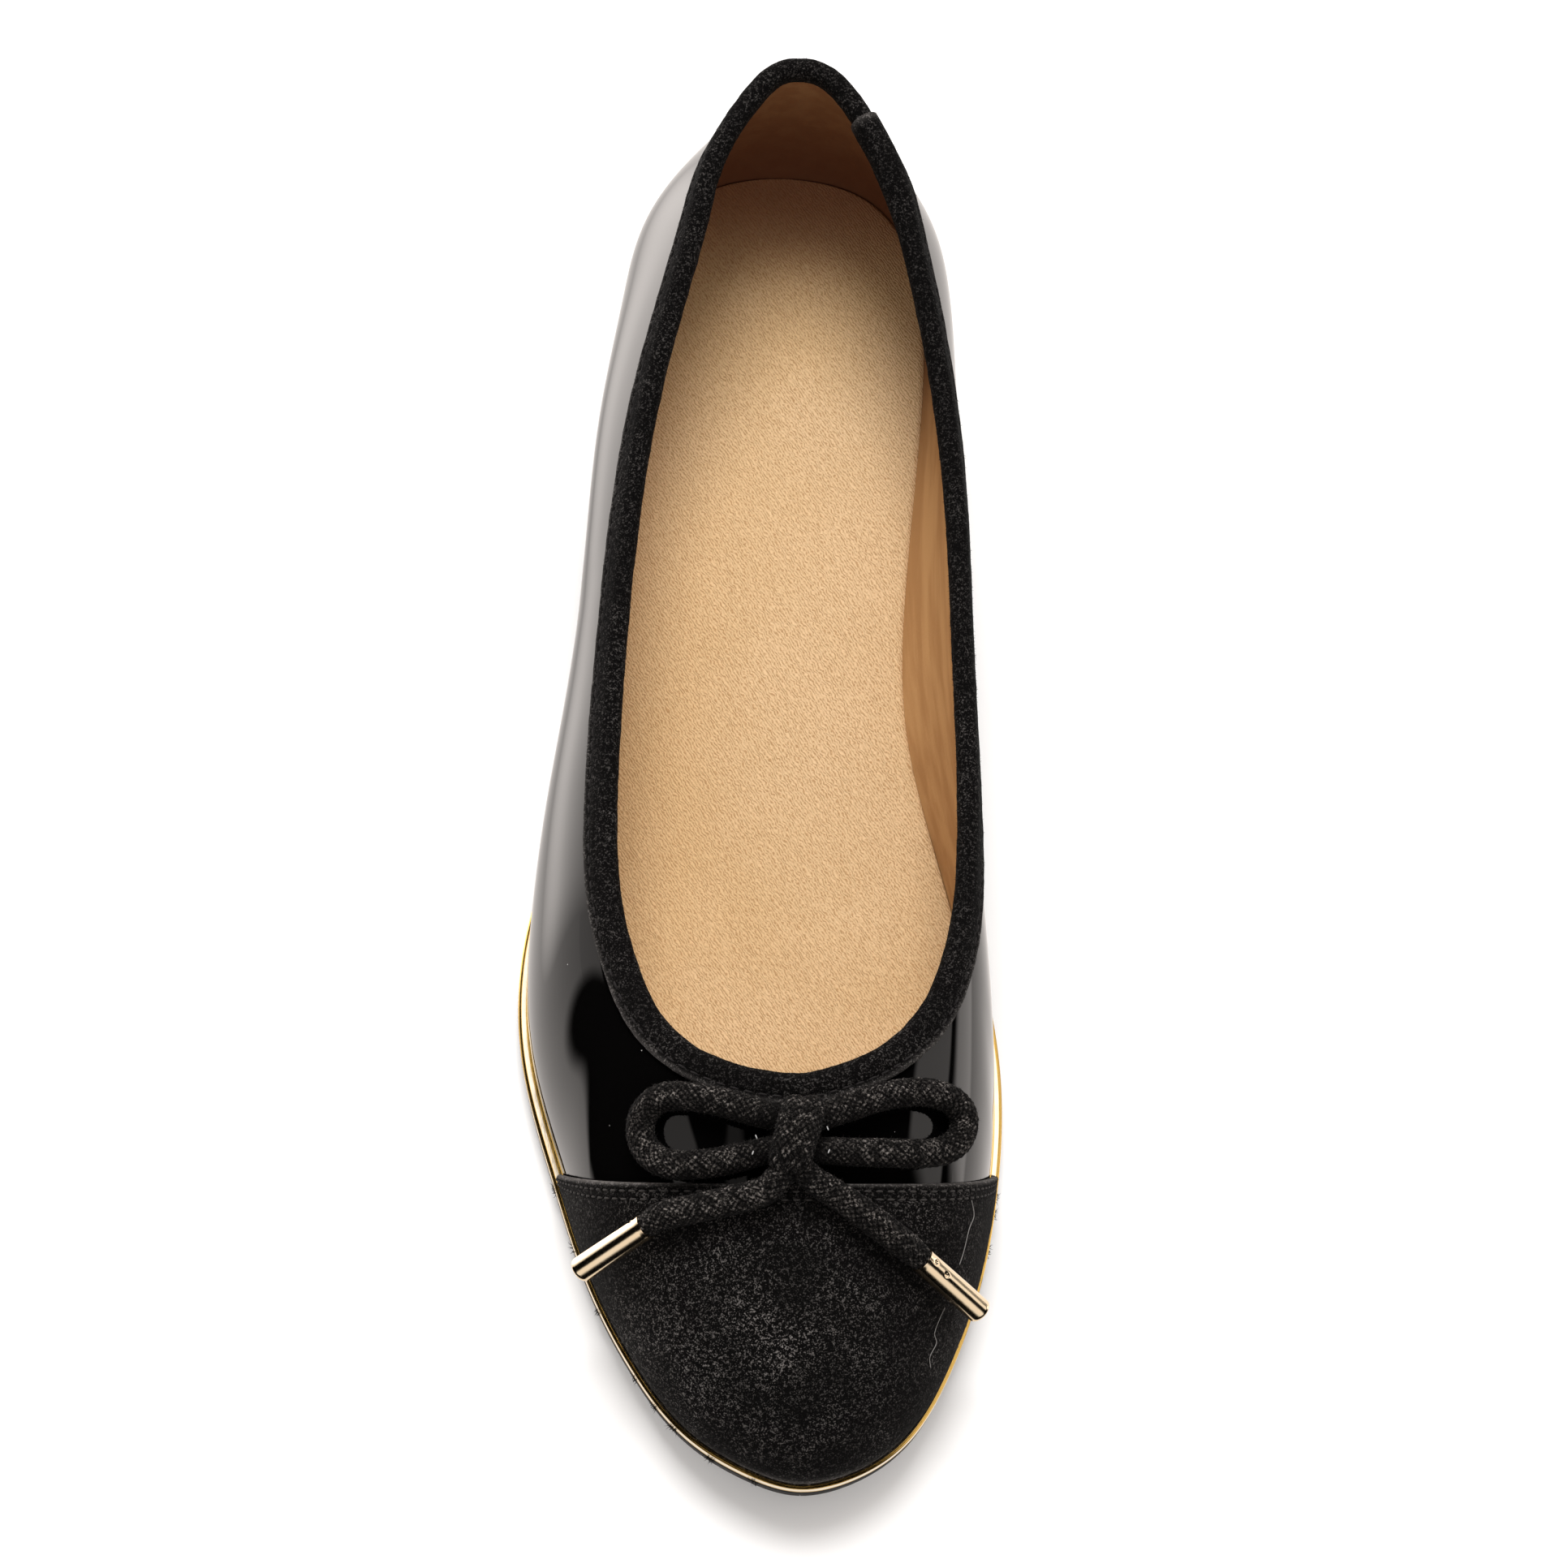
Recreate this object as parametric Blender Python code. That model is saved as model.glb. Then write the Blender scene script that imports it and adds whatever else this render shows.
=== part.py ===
"""A ballet flat for the right foot: patent upper, suede toe cap and collar binding, a cord bow with
metal tips, a metallic rand, a thin sole and a low heel.

The toe points along -Y, the inner (medial) side of the foot is +X and the outer (lateral) side is -X.
The origin is on the floor under the middle of the heel. Run it with blender --background --python part.py
"""

import math
from collections import namedtuple

import bmesh
import bpy
import numpy as np
from mathutils import Vector

MM = 0.001

# Driving sizes
LENGTH = 253 * MM  # sole, from the back of the heel to the toe
BALL_WIDTH = 84.4 * MM  # sole, both sides added up where each is widest
BACK_HEIGHT = 60 * MM  # floor to the top of the collar at the heel
HEEL_CENTRE = 28 * MM  # back of the sole to the origin
HEEL_LIFT = 9 * MM  # height of the heel block
TOE_SPRING = 7 * MM  # height of the sole's underside at the toe
OUTSOLE_THICK = 3.5 * MM
RAND_THICK = 2.0 * MM
RAND_WIDE = 5.0 * MM
RAND_LEDGE = 1.8 * MM  # how far the rand stands out past the upper
INSOLE_THICK = 1.9 * MM  # what shows above the rand
INSOLE_CROWN = 0.4 * MM  # rounding of the insole's upper edge
WALL = 1.5 * MM  # upper and lining together
GAP = 0.3 * MM  # between pieces that touch
BINDING_LEATHER = 0.9 * MM
BINDING_OUTSIDE = 5.6 * MM  # depth of the binding's outer leg, from its top
BINDING_INSIDE = 3.2 * MM
CAP_LEATHER = 1.1 * MM
CAP_START = 0.766  # where the cap's edge meets the rand, as a share of LENGTH
CAP_LEAN = math.radians(24.5)  # the cap's edge leans forward by this
CAP_TURN = math.radians(1)  # and its inner side lies further back
HEEL_BREAST = 0.235  # front of the heel block, as a share of LENGTH
HEEL_INSET = 0.9 * MM  # top of the heel block, inside the sole's edge
HEEL_TAPER = 0.9 * MM
CORD = 4.8 * MM
TIP_WIDE = 4.4 * MM
TIP_LONG = 15.0 * MM
TIP_WALL = 0.35 * MM
TIP_ROUNDING = 0.5 * MM
KNOT_SIZE = (7.0 * MM, 12.6 * MM, 7.6 * MM)
KNOT_ROUNDING = 2.6 * MM

# The sole's underside: flat under the heel, down the arch to the tread, then up to the toe
ARCH_START = 0.27
TREAD_START = 0.58
TREAD_END = 0.74

ROLL = WALL / 2 + GAP + BINDING_LEATHER  # radius of the binding's rolled top
ROUND_STEPS = 80  # columns round the shoe, an even number
CROWDING = 0.35  # how much closer the columns are at heel and toe than along the sides
DOWN_STEPS = 10  # faces from the collar down to the sole
CAP_STEPS = 7  # faces from the toe cap's edge down to the sole

# Each row is one line of the wall, from the heel (first) to the toe (last). along is a share of LENGTH
# from the back of the sole, lateral and medial are shares of BALL_WIDTH and high is of BACK_HEIGHT.
Sole = namedtuple("Sole", "along lateral medial")
SOLE = [
    Sole(0.000, 0.000, 0.000),
    Sole(0.020, 0.216, 0.216),
    Sole(0.060, 0.299, 0.299),
    Sole(0.130, 0.338, 0.334),
    Sole(0.230, 0.344, 0.320),
    Sole(0.340, 0.360, 0.291),
    Sole(0.440, 0.410, 0.294),
    Sole(0.530, 0.481, 0.361),
    Sole(0.610, 0.533, 0.422),
    Sole(0.690, 0.528, 0.457),
    Sole(0.770, 0.466, 0.449),
    Sole(0.850, 0.389, 0.406),
    Sole(0.915, 0.295, 0.338),
    Sole(0.963, 0.187, 0.254),
    Sole(0.990, 0.066, 0.149),
    Sole(1.000, -0.040, 0.040),
]
Collar = namedtuple("Collar", "along lateral medial high")
COLLAR = [
    Collar(0.018, -0.008, 0.008, 1.000),
    Collar(0.035, 0.080, 0.102, 0.992),
    Collar(0.075, 0.154, 0.174, 0.967),
    Collar(0.130, 0.203, 0.236, 0.912),
    Collar(0.228, 0.278, 0.302, 0.817),
    Collar(0.335, 0.332, 0.340, 0.752),
    Collar(0.430, 0.357, 0.352, 0.717),
    Collar(0.515, 0.370, 0.360, 0.698),
    Collar(0.585, 0.372, 0.359, 0.693),
    Collar(0.640, 0.354, 0.342, 0.695),
    Collar(0.690, 0.310, 0.297, 0.700),
    Collar(0.722, 0.255, 0.232, 0.707),
    Collar(0.742, 0.182, 0.156, 0.717),
    Collar(0.753, 0.100, 0.078, 0.723),
    Collar(0.757, 0.040, 0.040, 0.725),
    Collar(0.758, -0.008, 0.008, 0.725),
]
# How the wall bulges between collar and sole, as shares of BACK_HEIGHT: the wall leaves the collar
# towards a point top_out outside it and top_down below it, and reaches the sole from a point
# foot_out outside its edge and foot_up above it.
Bulge = namedtuple("Bulge", "top_out top_down foot_out foot_up")
LATERAL_BULGE = [
    Bulge(0.040, 0.233, 0.080, 0.233),
    Bulge(0.025, 0.225, 0.060, 0.230),
    Bulge(0.050, 0.215, 0.085, 0.220),
    Bulge(0.095, 0.185, 0.120, 0.208),
    Bulge(0.117, 0.175, 0.190, 0.200),
    Bulge(0.108, 0.155, 0.192, 0.195),
    Bulge(0.100, 0.140, 0.165, 0.195),
    Bulge(0.115, 0.115, 0.117, 0.200),
    Bulge(0.133, 0.095, 0.042, 0.205),
    Bulge(0.150, 0.067, 0.025, 0.215),
    Bulge(0.170, 0.058, 0.017, 0.235),
    Bulge(0.235, 0.060, 0.017, 0.265),
    Bulge(0.300, 0.075, 0.017, 0.290),
    Bulge(0.340, 0.090, 0.017, 0.308),
    Bulge(0.362, 0.098, 0.017, 0.317),
    Bulge(0.367, 0.100, 0.017, 0.317),
]
MEDIAL_BULGE = [
    LATERAL_BULGE[0],
    Bulge(0.025, 0.225, 0.060, 0.230),
    Bulge(0.055, 0.215, 0.100, 0.220),
    Bulge(0.085, 0.185, 0.125, 0.208),
    Bulge(0.070, 0.175, 0.125, 0.200),
    Bulge(0.040, 0.165, 0.115, 0.195),
    Bulge(0.030, 0.155, 0.105, 0.195),
    Bulge(0.035, 0.135, 0.060, 0.200),
    Bulge(0.050, 0.110, 0.030, 0.205),
    Bulge(0.075, 0.080, 0.005, 0.215),
    Bulge(0.125, 0.062, 0.005, 0.235),
    Bulge(0.215, 0.060, 0.012, 0.265),
    Bulge(0.297, 0.075, 0.017, 0.290),
    Bulge(0.340, 0.090, 0.017, 0.308),
    Bulge(0.362, 0.098, 0.017, 0.317),
    LATERAL_BULGE[-1],
]

# The bow's routes, by hand, in millimetres: each from the knot outwards
LATERAL_LOOP = [
    (-3.4, -170.8, 44.6),
    (-7.6, -169.6, 44.6),
    (-13.0, -168.0, 44.2),
    (-18.4, -166.8, 42.9),
    (-22.1, -166.9, 41.7),
    (-24.4, -168.8, 40.4),
    (-25.1, -171.6, 39.3),
    (-24.2, -174.6, 38.7),
    (-21.9, -176.8, 38.9),
    (-18.2, -177.9, 39.8),
    (-12.8, -177.8, 41.0),
    (-8.1, -177.0, 42.0),
    (-3.4, -176.2, 43.0),
]
MEDIAL_LOOP = [
    (4.4, -170.8, 44.6),
    (8.6, -169.1, 44.6),
    (13.4, -167.1, 44.1),
    (18.3, -165.4, 42.8),
    (22.4, -164.6, 41.5),
    (26.4, -164.8, 39.6),
    (28.8, -166.3, 37.7),
    (29.3, -168.6, 36.6),
    (28.2, -171.4, 36.6),
    (25.4, -173.6, 37.7),
    (21.2, -174.8, 39.3),
    (15.6, -175.4, 40.9),
    (10.1, -175.8, 42.0),
    (4.4, -176.2, 43.0),
]
LATERAL_END = [
    (-2.1, -180.9, 43.1),
    (-4.4, -183.2, 42.6),
    (-9.4, -184.5, 41.4),
    (-13.8, -185.2, 40.3),
    (-18.0, -185.8, 39.0),
    (-21.5, -186.2, 37.6),
    (-23.7, -187.2, 35.8),
]
MEDIAL_END = [
    (3.1, -180.9, 43.1),
    (5.8, -182.6, 42.6),
    (9.4, -184.6, 41.6),
    (13.4, -187.0, 40.2),
    (17.0, -189.2, 38.6),
    (19.8, -190.7, 37.0),
    (21.9, -191.9, 35.3),
]
KNOT_AT = (0.5, -174.1, 44.6)
LOOP_STEPS = 24
END_STEPS = 9
CORD_SIDES = 3  # bevel resolution

SUEDE = ("suede", (0.022, 0.021, 0.022), 0.95, 0.0)
PATENT = ("patent", (0.008, 0.008, 0.009), 0.06, 0.0)
RUBBER = ("sole_rubber", (0.020, 0.020, 0.021), 0.7, 0.0)
GOLD = ("gold_metal", (0.86, 0.62, 0.34), 0.2, 1.0)
TAN = ("tan_leather", (0.66, 0.44, 0.24), 0.6, 0.0)
BRAID = ("cotton_cord", (0.016, 0.015, 0.016), 0.95, 0.0)


def clear_scene():
    for obj in list(bpy.data.objects):
        bpy.data.objects.remove(obj)


def material(name, colour, roughness, metallic):
    found = bpy.data.materials.get(name)
    if found:
        return found
    made = bpy.data.materials.new(name)
    made.use_nodes = True
    shader = made.node_tree.nodes["Principled BSDF"]
    shader.inputs["Base Color"].default_value = (*colour, 1.0)
    shader.inputs["Roughness"].default_value = roughness
    shader.inputs["Metallic"].default_value = metallic
    return made


def closed_spline(knots, values):
    """A smooth closed curve through a row of values at each knot. The knots rise from 0 to under 1."""
    count = len(knots)
    step = np.diff(np.append(knots, 1 + knots[0]))
    before = np.roll(step, 1)
    slope = (np.roll(values, -1, axis=0) - values) / step[:, None]
    system = np.zeros((count, count))
    for i in range(count):
        system[i, i - 1] = before[i]
        system[i, i] = 2 * (before[i] + step[i])
        system[i, (i + 1) % count] = step[i]
    bend = np.linalg.solve(system, 6 * (slope - np.roll(slope, 1, axis=0)))
    after_value, after_bend = np.roll(values, -1, axis=0), np.roll(bend, -1, axis=0)

    def at(turns):
        turns = np.mod(turns, 1.0)
        i = np.searchsorted(knots, turns, side="right") - 1
        width = step[i][:, None]
        b = (turns - knots[i])[:, None] / width
        a = 1 - b
        cubic = (a**3 - a) * bend[i] + (b**3 - b) * after_bend[i]
        return a * values[i] + b * after_value[i] + cubic * width**2 / 6

    return at


def both_sides(lateral, medial):
    """Rows from the heel along the lateral side to the toe, and back along the medial side."""
    return np.array(list(lateral) + list(medial[-2:0:-1]), float)


def make_knots():
    """A turn for each row, the same on both sides, spaced as the sole's rows are."""
    along = np.array([row.along for row in SOLE]) * LENGTH
    wide = [np.array([getattr(row, side) for row in SOLE]) * BALL_WIDTH for side in ("lateral", "medial")]
    wide[1][[0, -1]] = -wide[0][[0, -1]]
    gaps = [np.hypot(np.diff(along), np.diff(x)) for x in wide]
    run = np.concatenate([[0], np.cumsum(sum(gaps))])
    half = run / run[-1] / 2
    return np.concatenate([half, 1 - half[-2:0:-1]])


KNOTS = make_knots()


def plan_rows(rows):
    """(x, y) for each row of a table, both sides."""
    lateral = [(-r.lateral * BALL_WIDTH, HEEL_CENTRE - r.along * LENGTH) for r in rows]
    medial = [(r.medial * BALL_WIDTH, HEEL_CENTRE - r.along * LENGTH) for r in rows]
    return both_sides(lateral, medial)


SOLE_LINE = closed_spline(KNOTS, plan_rows(SOLE))
COLLAR_LINE = closed_spline(KNOTS, plan_rows(COLLAR))
HIGH = [[row.high * BACK_HEIGHT - ROLL] for row in COLLAR]
COLLAR_HIGH = closed_spline(KNOTS, both_sides(HIGH, HIGH))
BULGE = closed_spline(KNOTS, both_sides(LATERAL_BULGE, MEDIAL_BULGE) * BACK_HEIGHT)


def outward(line, turns):
    """Unit normal in plan, pointing away from the foot."""
    small = 1e-4
    ahead = line(turns + small) - line(turns - small)
    normal = np.stack([ahead[:, 1], -ahead[:, 0]], axis=1)
    return normal / np.linalg.norm(normal, axis=1)[:, None]


def inset_line(turns, inset):
    """The sole's edge moved inwards, in plan."""
    return SOLE_LINE(turns) - inset * outward(SOLE_LINE, turns)


def rise(y):
    """Height of the sole's underside over the floor, leaving out the heel block."""
    share = np.clip((HEEL_CENTRE - np.asarray(y, float)) / LENGTH, 0.0, 1.0)
    down = np.clip((share - ARCH_START) / (TREAD_START - ARCH_START), 0.0, 1.0)
    up = np.clip((share - TREAD_END) / (1.0 - TREAD_END), 0.0, 1.0)
    return HEEL_LIFT * (1 - down * down * (3 - 2 * down)) + TOE_SPRING * up**2


# Heights over the sole's underside
RAND_BASE = OUTSOLE_THICK + GAP
RAND_TOP = RAND_BASE + RAND_THICK
UPPER_BASE = RAND_TOP + GAP
INSOLE_TOP = UPPER_BASE + INSOLE_THICK


def raised(plan, over):
    """Plan points lifted to a height over the sole's underside."""
    return np.column_stack([plan, rise(plan[:, 1]) + over])


def wall_points(turns, share):
    """The middle of the upper's wall: share runs from 0 at its top edge to 1 at the sole."""
    top = np.column_stack([COLLAR_LINE(turns), COLLAR_HIGH(turns)])
    foot = raised(inset_line(turns, RAND_LEDGE + WALL / 2), UPPER_BASE)
    top_out, top_down, foot_out, foot_up = BULGE(turns).T
    from_top = top + np.column_stack([outward(COLLAR_LINE, turns) * top_out[:, None], -top_down])
    from_foot = foot + np.column_stack([outward(SOLE_LINE, turns) * foot_out[:, None], foot_up])
    t = np.asarray(share, float)[:, None]
    s = 1 - t
    return s**3 * top + 3 * s * s * t * from_top + 3 * s * t * t * from_foot + t**3 * foot


def wall_normals(turns, share):
    """Unit normal of the upper's wall, pointing away from the foot."""
    small = 1e-4
    round_way = wall_points(turns + small, share) - wall_points(turns - small, share)
    down_way = wall_points(turns, share + small) - wall_points(turns, share - small)
    normal = np.cross(down_way, round_way)
    return normal / np.linalg.norm(normal, axis=1)[:, None]


def offset_wall(turns, share, out):
    return wall_points(turns, share) + out * wall_normals(turns, share)


def share_at(turn, depth):
    """The share at which the wall is this far below its top edge, measured along the wall."""
    shares = np.linspace(0, 1, 65)
    line = wall_points(np.full(len(shares), turn), shares)
    run = np.concatenate([[0], np.cumsum(np.linalg.norm(np.diff(line, axis=0), axis=1))])
    return float(np.interp(depth, run, shares))


def level_share(turn, out, over):
    """The share at which the surface this far outside the wall's middle comes down to a height over
    the sole's underside. It is a little more or less than 1 where the wall leans at its foot."""
    shares = np.linspace(0.6, 1.2, 61)
    line = offset_wall(np.full(len(shares), turn), shares, out)
    left = line[:, 2] - rise(line[:, 1]) - over
    return float(np.interp(0.0, -left, shares))


def cap_share(turn):
    """The share at which the wall crosses the plane of the toe cap's edge, or 1 if it doesn't."""
    shares = np.linspace(0, 1, 129)
    line = wall_points(np.full(len(shares), turn), shares)
    start = HEEL_CENTRE - CAP_START * LENGTH
    lean = math.tan(CAP_LEAN) * (line[:, 2] - UPPER_BASE)
    ahead = start + math.tan(CAP_TURN) * line[:, 0] - lean - line[:, 1]
    crossed = np.nonzero(ahead > 0)[0]
    if not len(crossed):
        return 1.0
    i = max(crossed[0], 1)
    part = ahead[i - 1] / (ahead[i - 1] - ahead[i])
    return float(shares[i - 1] + part * (shares[i] - shares[i - 1]))


def wall_line(turn, out, first, steps):
    """Points down one surface of the wall, from a share to where it stands on the rand."""
    shares = np.linspace(first, level_share(turn, out, UPPER_BASE), steps + 1)
    return offset_wall(np.full(len(shares), turn), shares, out)


def add_object(name, mesh_or_curve, finish):
    obj = bpy.data.objects.new(name, mesh_or_curve)
    bpy.context.scene.collection.objects.link(obj)
    obj.data.materials.append(material(*finish))
    return obj


def finished_mesh(name, bm, finish, smooth_under=40):
    bmesh.ops.recalc_face_normals(bm, faces=bm.faces)
    mesh = bpy.data.meshes.new(name)
    bm.to_mesh(mesh)
    bm.free()
    mesh.shade_smooth()
    mesh.set_sharp_from_angle(angle=math.radians(smooth_under))
    return add_object(name, mesh, finish)


def loop_verts(bm, points):
    return [bm.verts.new(p) for p in points]


def join_loops(bm, first, second, closed=True):
    count = len(first)
    for i in range(count if closed else count - 1):
        j = (i + 1) % count
        bm.faces.new((first[i], first[j], second[j], second[i]))


def ring_solid(name, sections, finish):
    """A solid swept round the whole shoe. sections is one closed outline for each column."""
    bm = bmesh.new()
    loops = [loop_verts(bm, section) for section in sections]
    for i, loop in enumerate(loops):
        join_loops(bm, loop, loops[(i + 1) % len(loops)])
    return finished_mesh(name, bm, finish)


def strip_solid(name, sections, finish):
    """A solid swept over part of the shoe, with both ends closed."""
    bm = bmesh.new()
    loops = [loop_verts(bm, section) for section in sections]
    for first, second in zip(loops, loops[1:]):
        join_loops(bm, first, second)
    for loop in (loops[0], loops[-1]):
        half = len(loop) // 2
        for i in range(half - 1):
            bm.faces.new((loop[i], loop[i + 1], loop[-2 - i], loop[-1 - i]))
    return finished_mesh(name, bm, finish)


def plate_solid(name, rings, finish, first_rung=1):
    """A solid of rings one above another. Its two faces are closed by rungs from side to side.
    first_rung is 1 where the ring starts at a point of the middle line, or 0 at a straight edge."""
    bm = bmesh.new()
    loops = [loop_verts(bm, ring) for ring in rings]
    for first, second in zip(loops, loops[1:]):
        join_loops(bm, first, second)
    for loop in (loops[0], loops[-1]):
        count = len(loop)
        pairs = [(i, (count - i) % count if first_rung else count - 1 - i) for i in range(count // 2 + 1)]
        for (a, b), (c, d) in zip(pairs, pairs[1:]):
            corners = list(dict.fromkeys((loop[a], loop[c], loop[d], loop[b])))
            if len(corners) > 2:
                bm.faces.new(corners)
    return finished_mesh(name, bm, finish)


def turns_round():
    even = np.arange(ROUND_STEPS) / ROUND_STEPS
    return even - CROWDING * np.sin(4 * math.pi * even) / (4 * math.pi)


def make_upper():
    """Patent leather and lining as one shell, open at the collar and underneath."""
    sections = []
    for turn in turns_round():
        outside = wall_line(turn, WALL / 2, 0.0, DOWN_STEPS)
        inside = wall_line(turn, -WALL / 2, 0.0, DOWN_STEPS)
        sections.append(np.concatenate([outside, inside[::-1]]))
    return ring_solid("upper", sections, PATENT)


def make_binding():
    """Suede folded over the upper's edge: an outer leg, a rolled top and an inner leg."""
    lining_side = ROLL - BINDING_LEATHER
    roll = np.radians(np.linspace(0, 180, 7))
    sections = []
    for turn in turns_round():
        one = np.full(1, turn)
        edge = np.zeros(1)
        outer = np.array([share_at(turn, BINDING_OUTSIDE - ROLL)])
        inner = np.array([share_at(turn, BINDING_INSIDE - ROLL)])
        middle = wall_points(one, edge)[0]
        normal = wall_normals(one, edge)[0]
        up = middle - wall_points(one, edge + 0.01)[0]
        up -= normal * (up @ normal)
        up /= np.linalg.norm(up)

        def arc(radius, angles):
            return [middle + radius * (math.cos(a) * normal + math.sin(a) * up) for a in angles]

        outline = [
            offset_wall(one, outer, ROLL),
            arc(ROLL, roll),
            offset_wall(one, inner, -ROLL),
            offset_wall(one, inner, -lining_side),
            arc(lining_side, roll[::-2]),
            offset_wall(one, outer, lining_side),
        ]
        sections.append(np.concatenate(outline))
    return ring_solid("topline_binding", sections, SUEDE)


def make_toe_cap():
    """Suede over the front of the upper, cut off along a plane that leans forward."""
    fine = np.linspace(0, 1, 721)
    covered = fine[[cap_share(turn) < 0.985 for turn in fine]]
    between = [turn for turn in turns_round() if covered[0] < turn < covered[-1]]
    sections = []
    for turn in [covered[0], *between, covered[-1]]:
        first = cap_share(turn)
        inside = wall_line(turn, WALL / 2 + GAP, first, CAP_STEPS)
        outside = wall_line(turn, WALL / 2 + GAP + CAP_LEATHER, first, CAP_STEPS)
        sections.append(np.concatenate([outside, inside[::-1]]))
    return strip_solid("toe_cap", sections, SUEDE)


def make_rand():
    """The metallic strip between upper and outsole."""
    turns = turns_round()
    outline = [
        (0.35 * MM, RAND_BASE),
        (0.0, RAND_BASE + RAND_THICK / 2),
        (0.35 * MM, RAND_TOP),
        (RAND_WIDE, RAND_TOP),
        (RAND_WIDE, RAND_BASE),
    ]
    rings = [raised(inset_line(turns, inset), over) for inset, over in outline]
    return ring_solid("rand", np.stack(rings, axis=1), GOLD)


def make_outsole():
    turns = turns_round()
    outline = [
        (1.3 * MM, 0.0),
        (0.3 * MM, 1.0 * MM),
        (0.0, OUTSOLE_THICK - 0.5 * MM),
        (0.4 * MM, OUTSOLE_THICK),
    ]
    rings = [raised(inset_line(turns, inset), over) for inset, over in outline]
    return plate_solid("outsole", rings, RUBBER)


def make_heel():
    """The low block under the back of the outsole."""
    fine = np.linspace(0, 0.5, 721)
    breast = HEEL_CENTRE - HEEL_BREAST * LENGTH
    corner = fine[SOLE_LINE(fine)[:, 1] >= breast][-1]
    turns = np.linspace(-corner, corner, ROUND_STEPS // 2)
    top = HEEL_LIFT - GAP
    bottom_inset = HEEL_INSET + HEEL_TAPER
    outline = [
        (bottom_inset + 0.5 * MM, 0.0),
        (bottom_inset, 0.6 * MM),
        (HEEL_INSET, top),
    ]
    rings = []
    for inset, height in outline:
        plan = inset_line(turns, inset)
        plan[:, 1] = np.maximum(plan[:, 1], breast + (inset - HEEL_INSET))
        rings.append(np.column_stack([plan, np.full(len(plan), height)]))
    return plate_solid("heel", rings, RUBBER, first_rung=0)


def make_insole():
    """Board and leather sock in one: it lies on the outsole inside the rand and reaches over it,
    out to the wall."""
    turns = turns_round()

    def beside_wall(over, inset):
        shares = np.array([level_share(turn, -WALL / 2, over) for turn in turns])
        wall = offset_wall(turns, shares, -WALL / 2)[:, :2]
        return raised(wall - inset * outward(SOLE_LINE, turns), over)

    board = inset_line(turns, RAND_WIDE + GAP)
    rings = [
        raised(board, RAND_BASE),
        raised(board, UPPER_BASE),
        beside_wall(UPPER_BASE, GAP),
        beside_wall(INSOLE_TOP - INSOLE_CROWN, GAP),
        beside_wall(INSOLE_TOP, GAP + INSOLE_CROWN),
    ]
    return plate_solid("insole", rings, TAN)


def smooth_route(points, steps):
    """Points spaced evenly along a smooth curve through the route's own points, in metres."""
    given = np.array(points, float) * MM
    ahead = np.vstack([2 * given[0] - given[1], given, 2 * given[-1] - given[-2]])
    fine = []
    for i in range(len(given) - 1):
        before, start, end, after = ahead[i : i + 4]
        for t in np.linspace(0, 1, 12, endpoint=False):
            fine.append(
                0.5
                * (
                    2 * start
                    + (end - before) * t
                    + (2 * before - 5 * start + 4 * end - after) * t**2
                    + (3 * start - before - 3 * end + after) * t**3
                )
            )
    fine = np.array(fine + [given[-1]])
    run = np.concatenate([[0], np.cumsum(np.linalg.norm(np.diff(fine, axis=0), axis=1))])
    at = np.linspace(0, run[-1], steps)
    return np.stack([np.interp(at, run, fine[:, k]) for k in range(3)], axis=1)


def make_cord(name, route):
    curve = bpy.data.curves.new(name, "CURVE")
    curve.dimensions = "3D"
    curve.bevel_depth = CORD / 2
    curve.bevel_resolution = CORD_SIDES
    curve.use_fill_caps = True
    spline = curve.splines.new("POLY")
    spline.points.add(len(route) - 1)
    for point, place in zip(spline.points, route):
        point.co = (*place, 1.0)
    return add_object(name, curve, BRAID)


def make_tip(name, route):
    """A metal ferrule in line with the cord's end: a thin cup, open towards the cord."""
    radius, bore, last = TIP_WIDE / 2, TIP_WIDE / 2 - TIP_WALL, TIP_LONG - TIP_WALL
    profile = [
        (bore, 0.0),
        (radius, 0.0),
        (radius, TIP_LONG - TIP_ROUNDING),
        (radius - TIP_ROUNDING, TIP_LONG),
        (0.0, TIP_LONG),
        (0.0, last),
        (bore, last),
    ]
    bm = bmesh.new()
    verts = [bm.verts.new((across, 0.0, along)) for across, along in profile]
    edges = [bm.edges.new(pair) for pair in zip(verts, verts[1:] + verts[:1]) if pair != (verts[4], verts[5])]
    bmesh.ops.spin(
        bm,
        geom=verts + edges,
        cent=(0, 0, 0),
        axis=(0, 0, 1),
        angle=math.tau,
        steps=16,
        use_merge=True,
    )
    bmesh.ops.remove_doubles(bm, verts=bm.verts, dist=1e-6)
    tip = finished_mesh(name, bm, GOLD)
    end = Vector(route[-1])
    direction = (end - Vector(route[-2])).normalized()
    tip.rotation_mode = "QUATERNION"
    tip.rotation_quaternion = direction.to_track_quat("Z", "Y")
    tip.location = end + direction * GAP
    return tip


def make_knot():
    """The turn of cord that holds the bow, as one rounded block."""
    bm = bmesh.new()
    bmesh.ops.create_cube(bm, size=1.0)
    for vert in bm.verts:
        vert.co = Vector(c * size for c, size in zip(vert.co, KNOT_SIZE))
    bmesh.ops.bevel(
        bm,
        geom=bm.edges[:],
        offset=KNOT_ROUNDING,
        offset_type="OFFSET",
        segments=3,
        profile=0.5,
        affect="EDGES",
    )
    knot = finished_mesh("bow_knot", bm, BRAID)
    knot.location = Vector(KNOT_AT) * MM
    return knot


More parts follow.
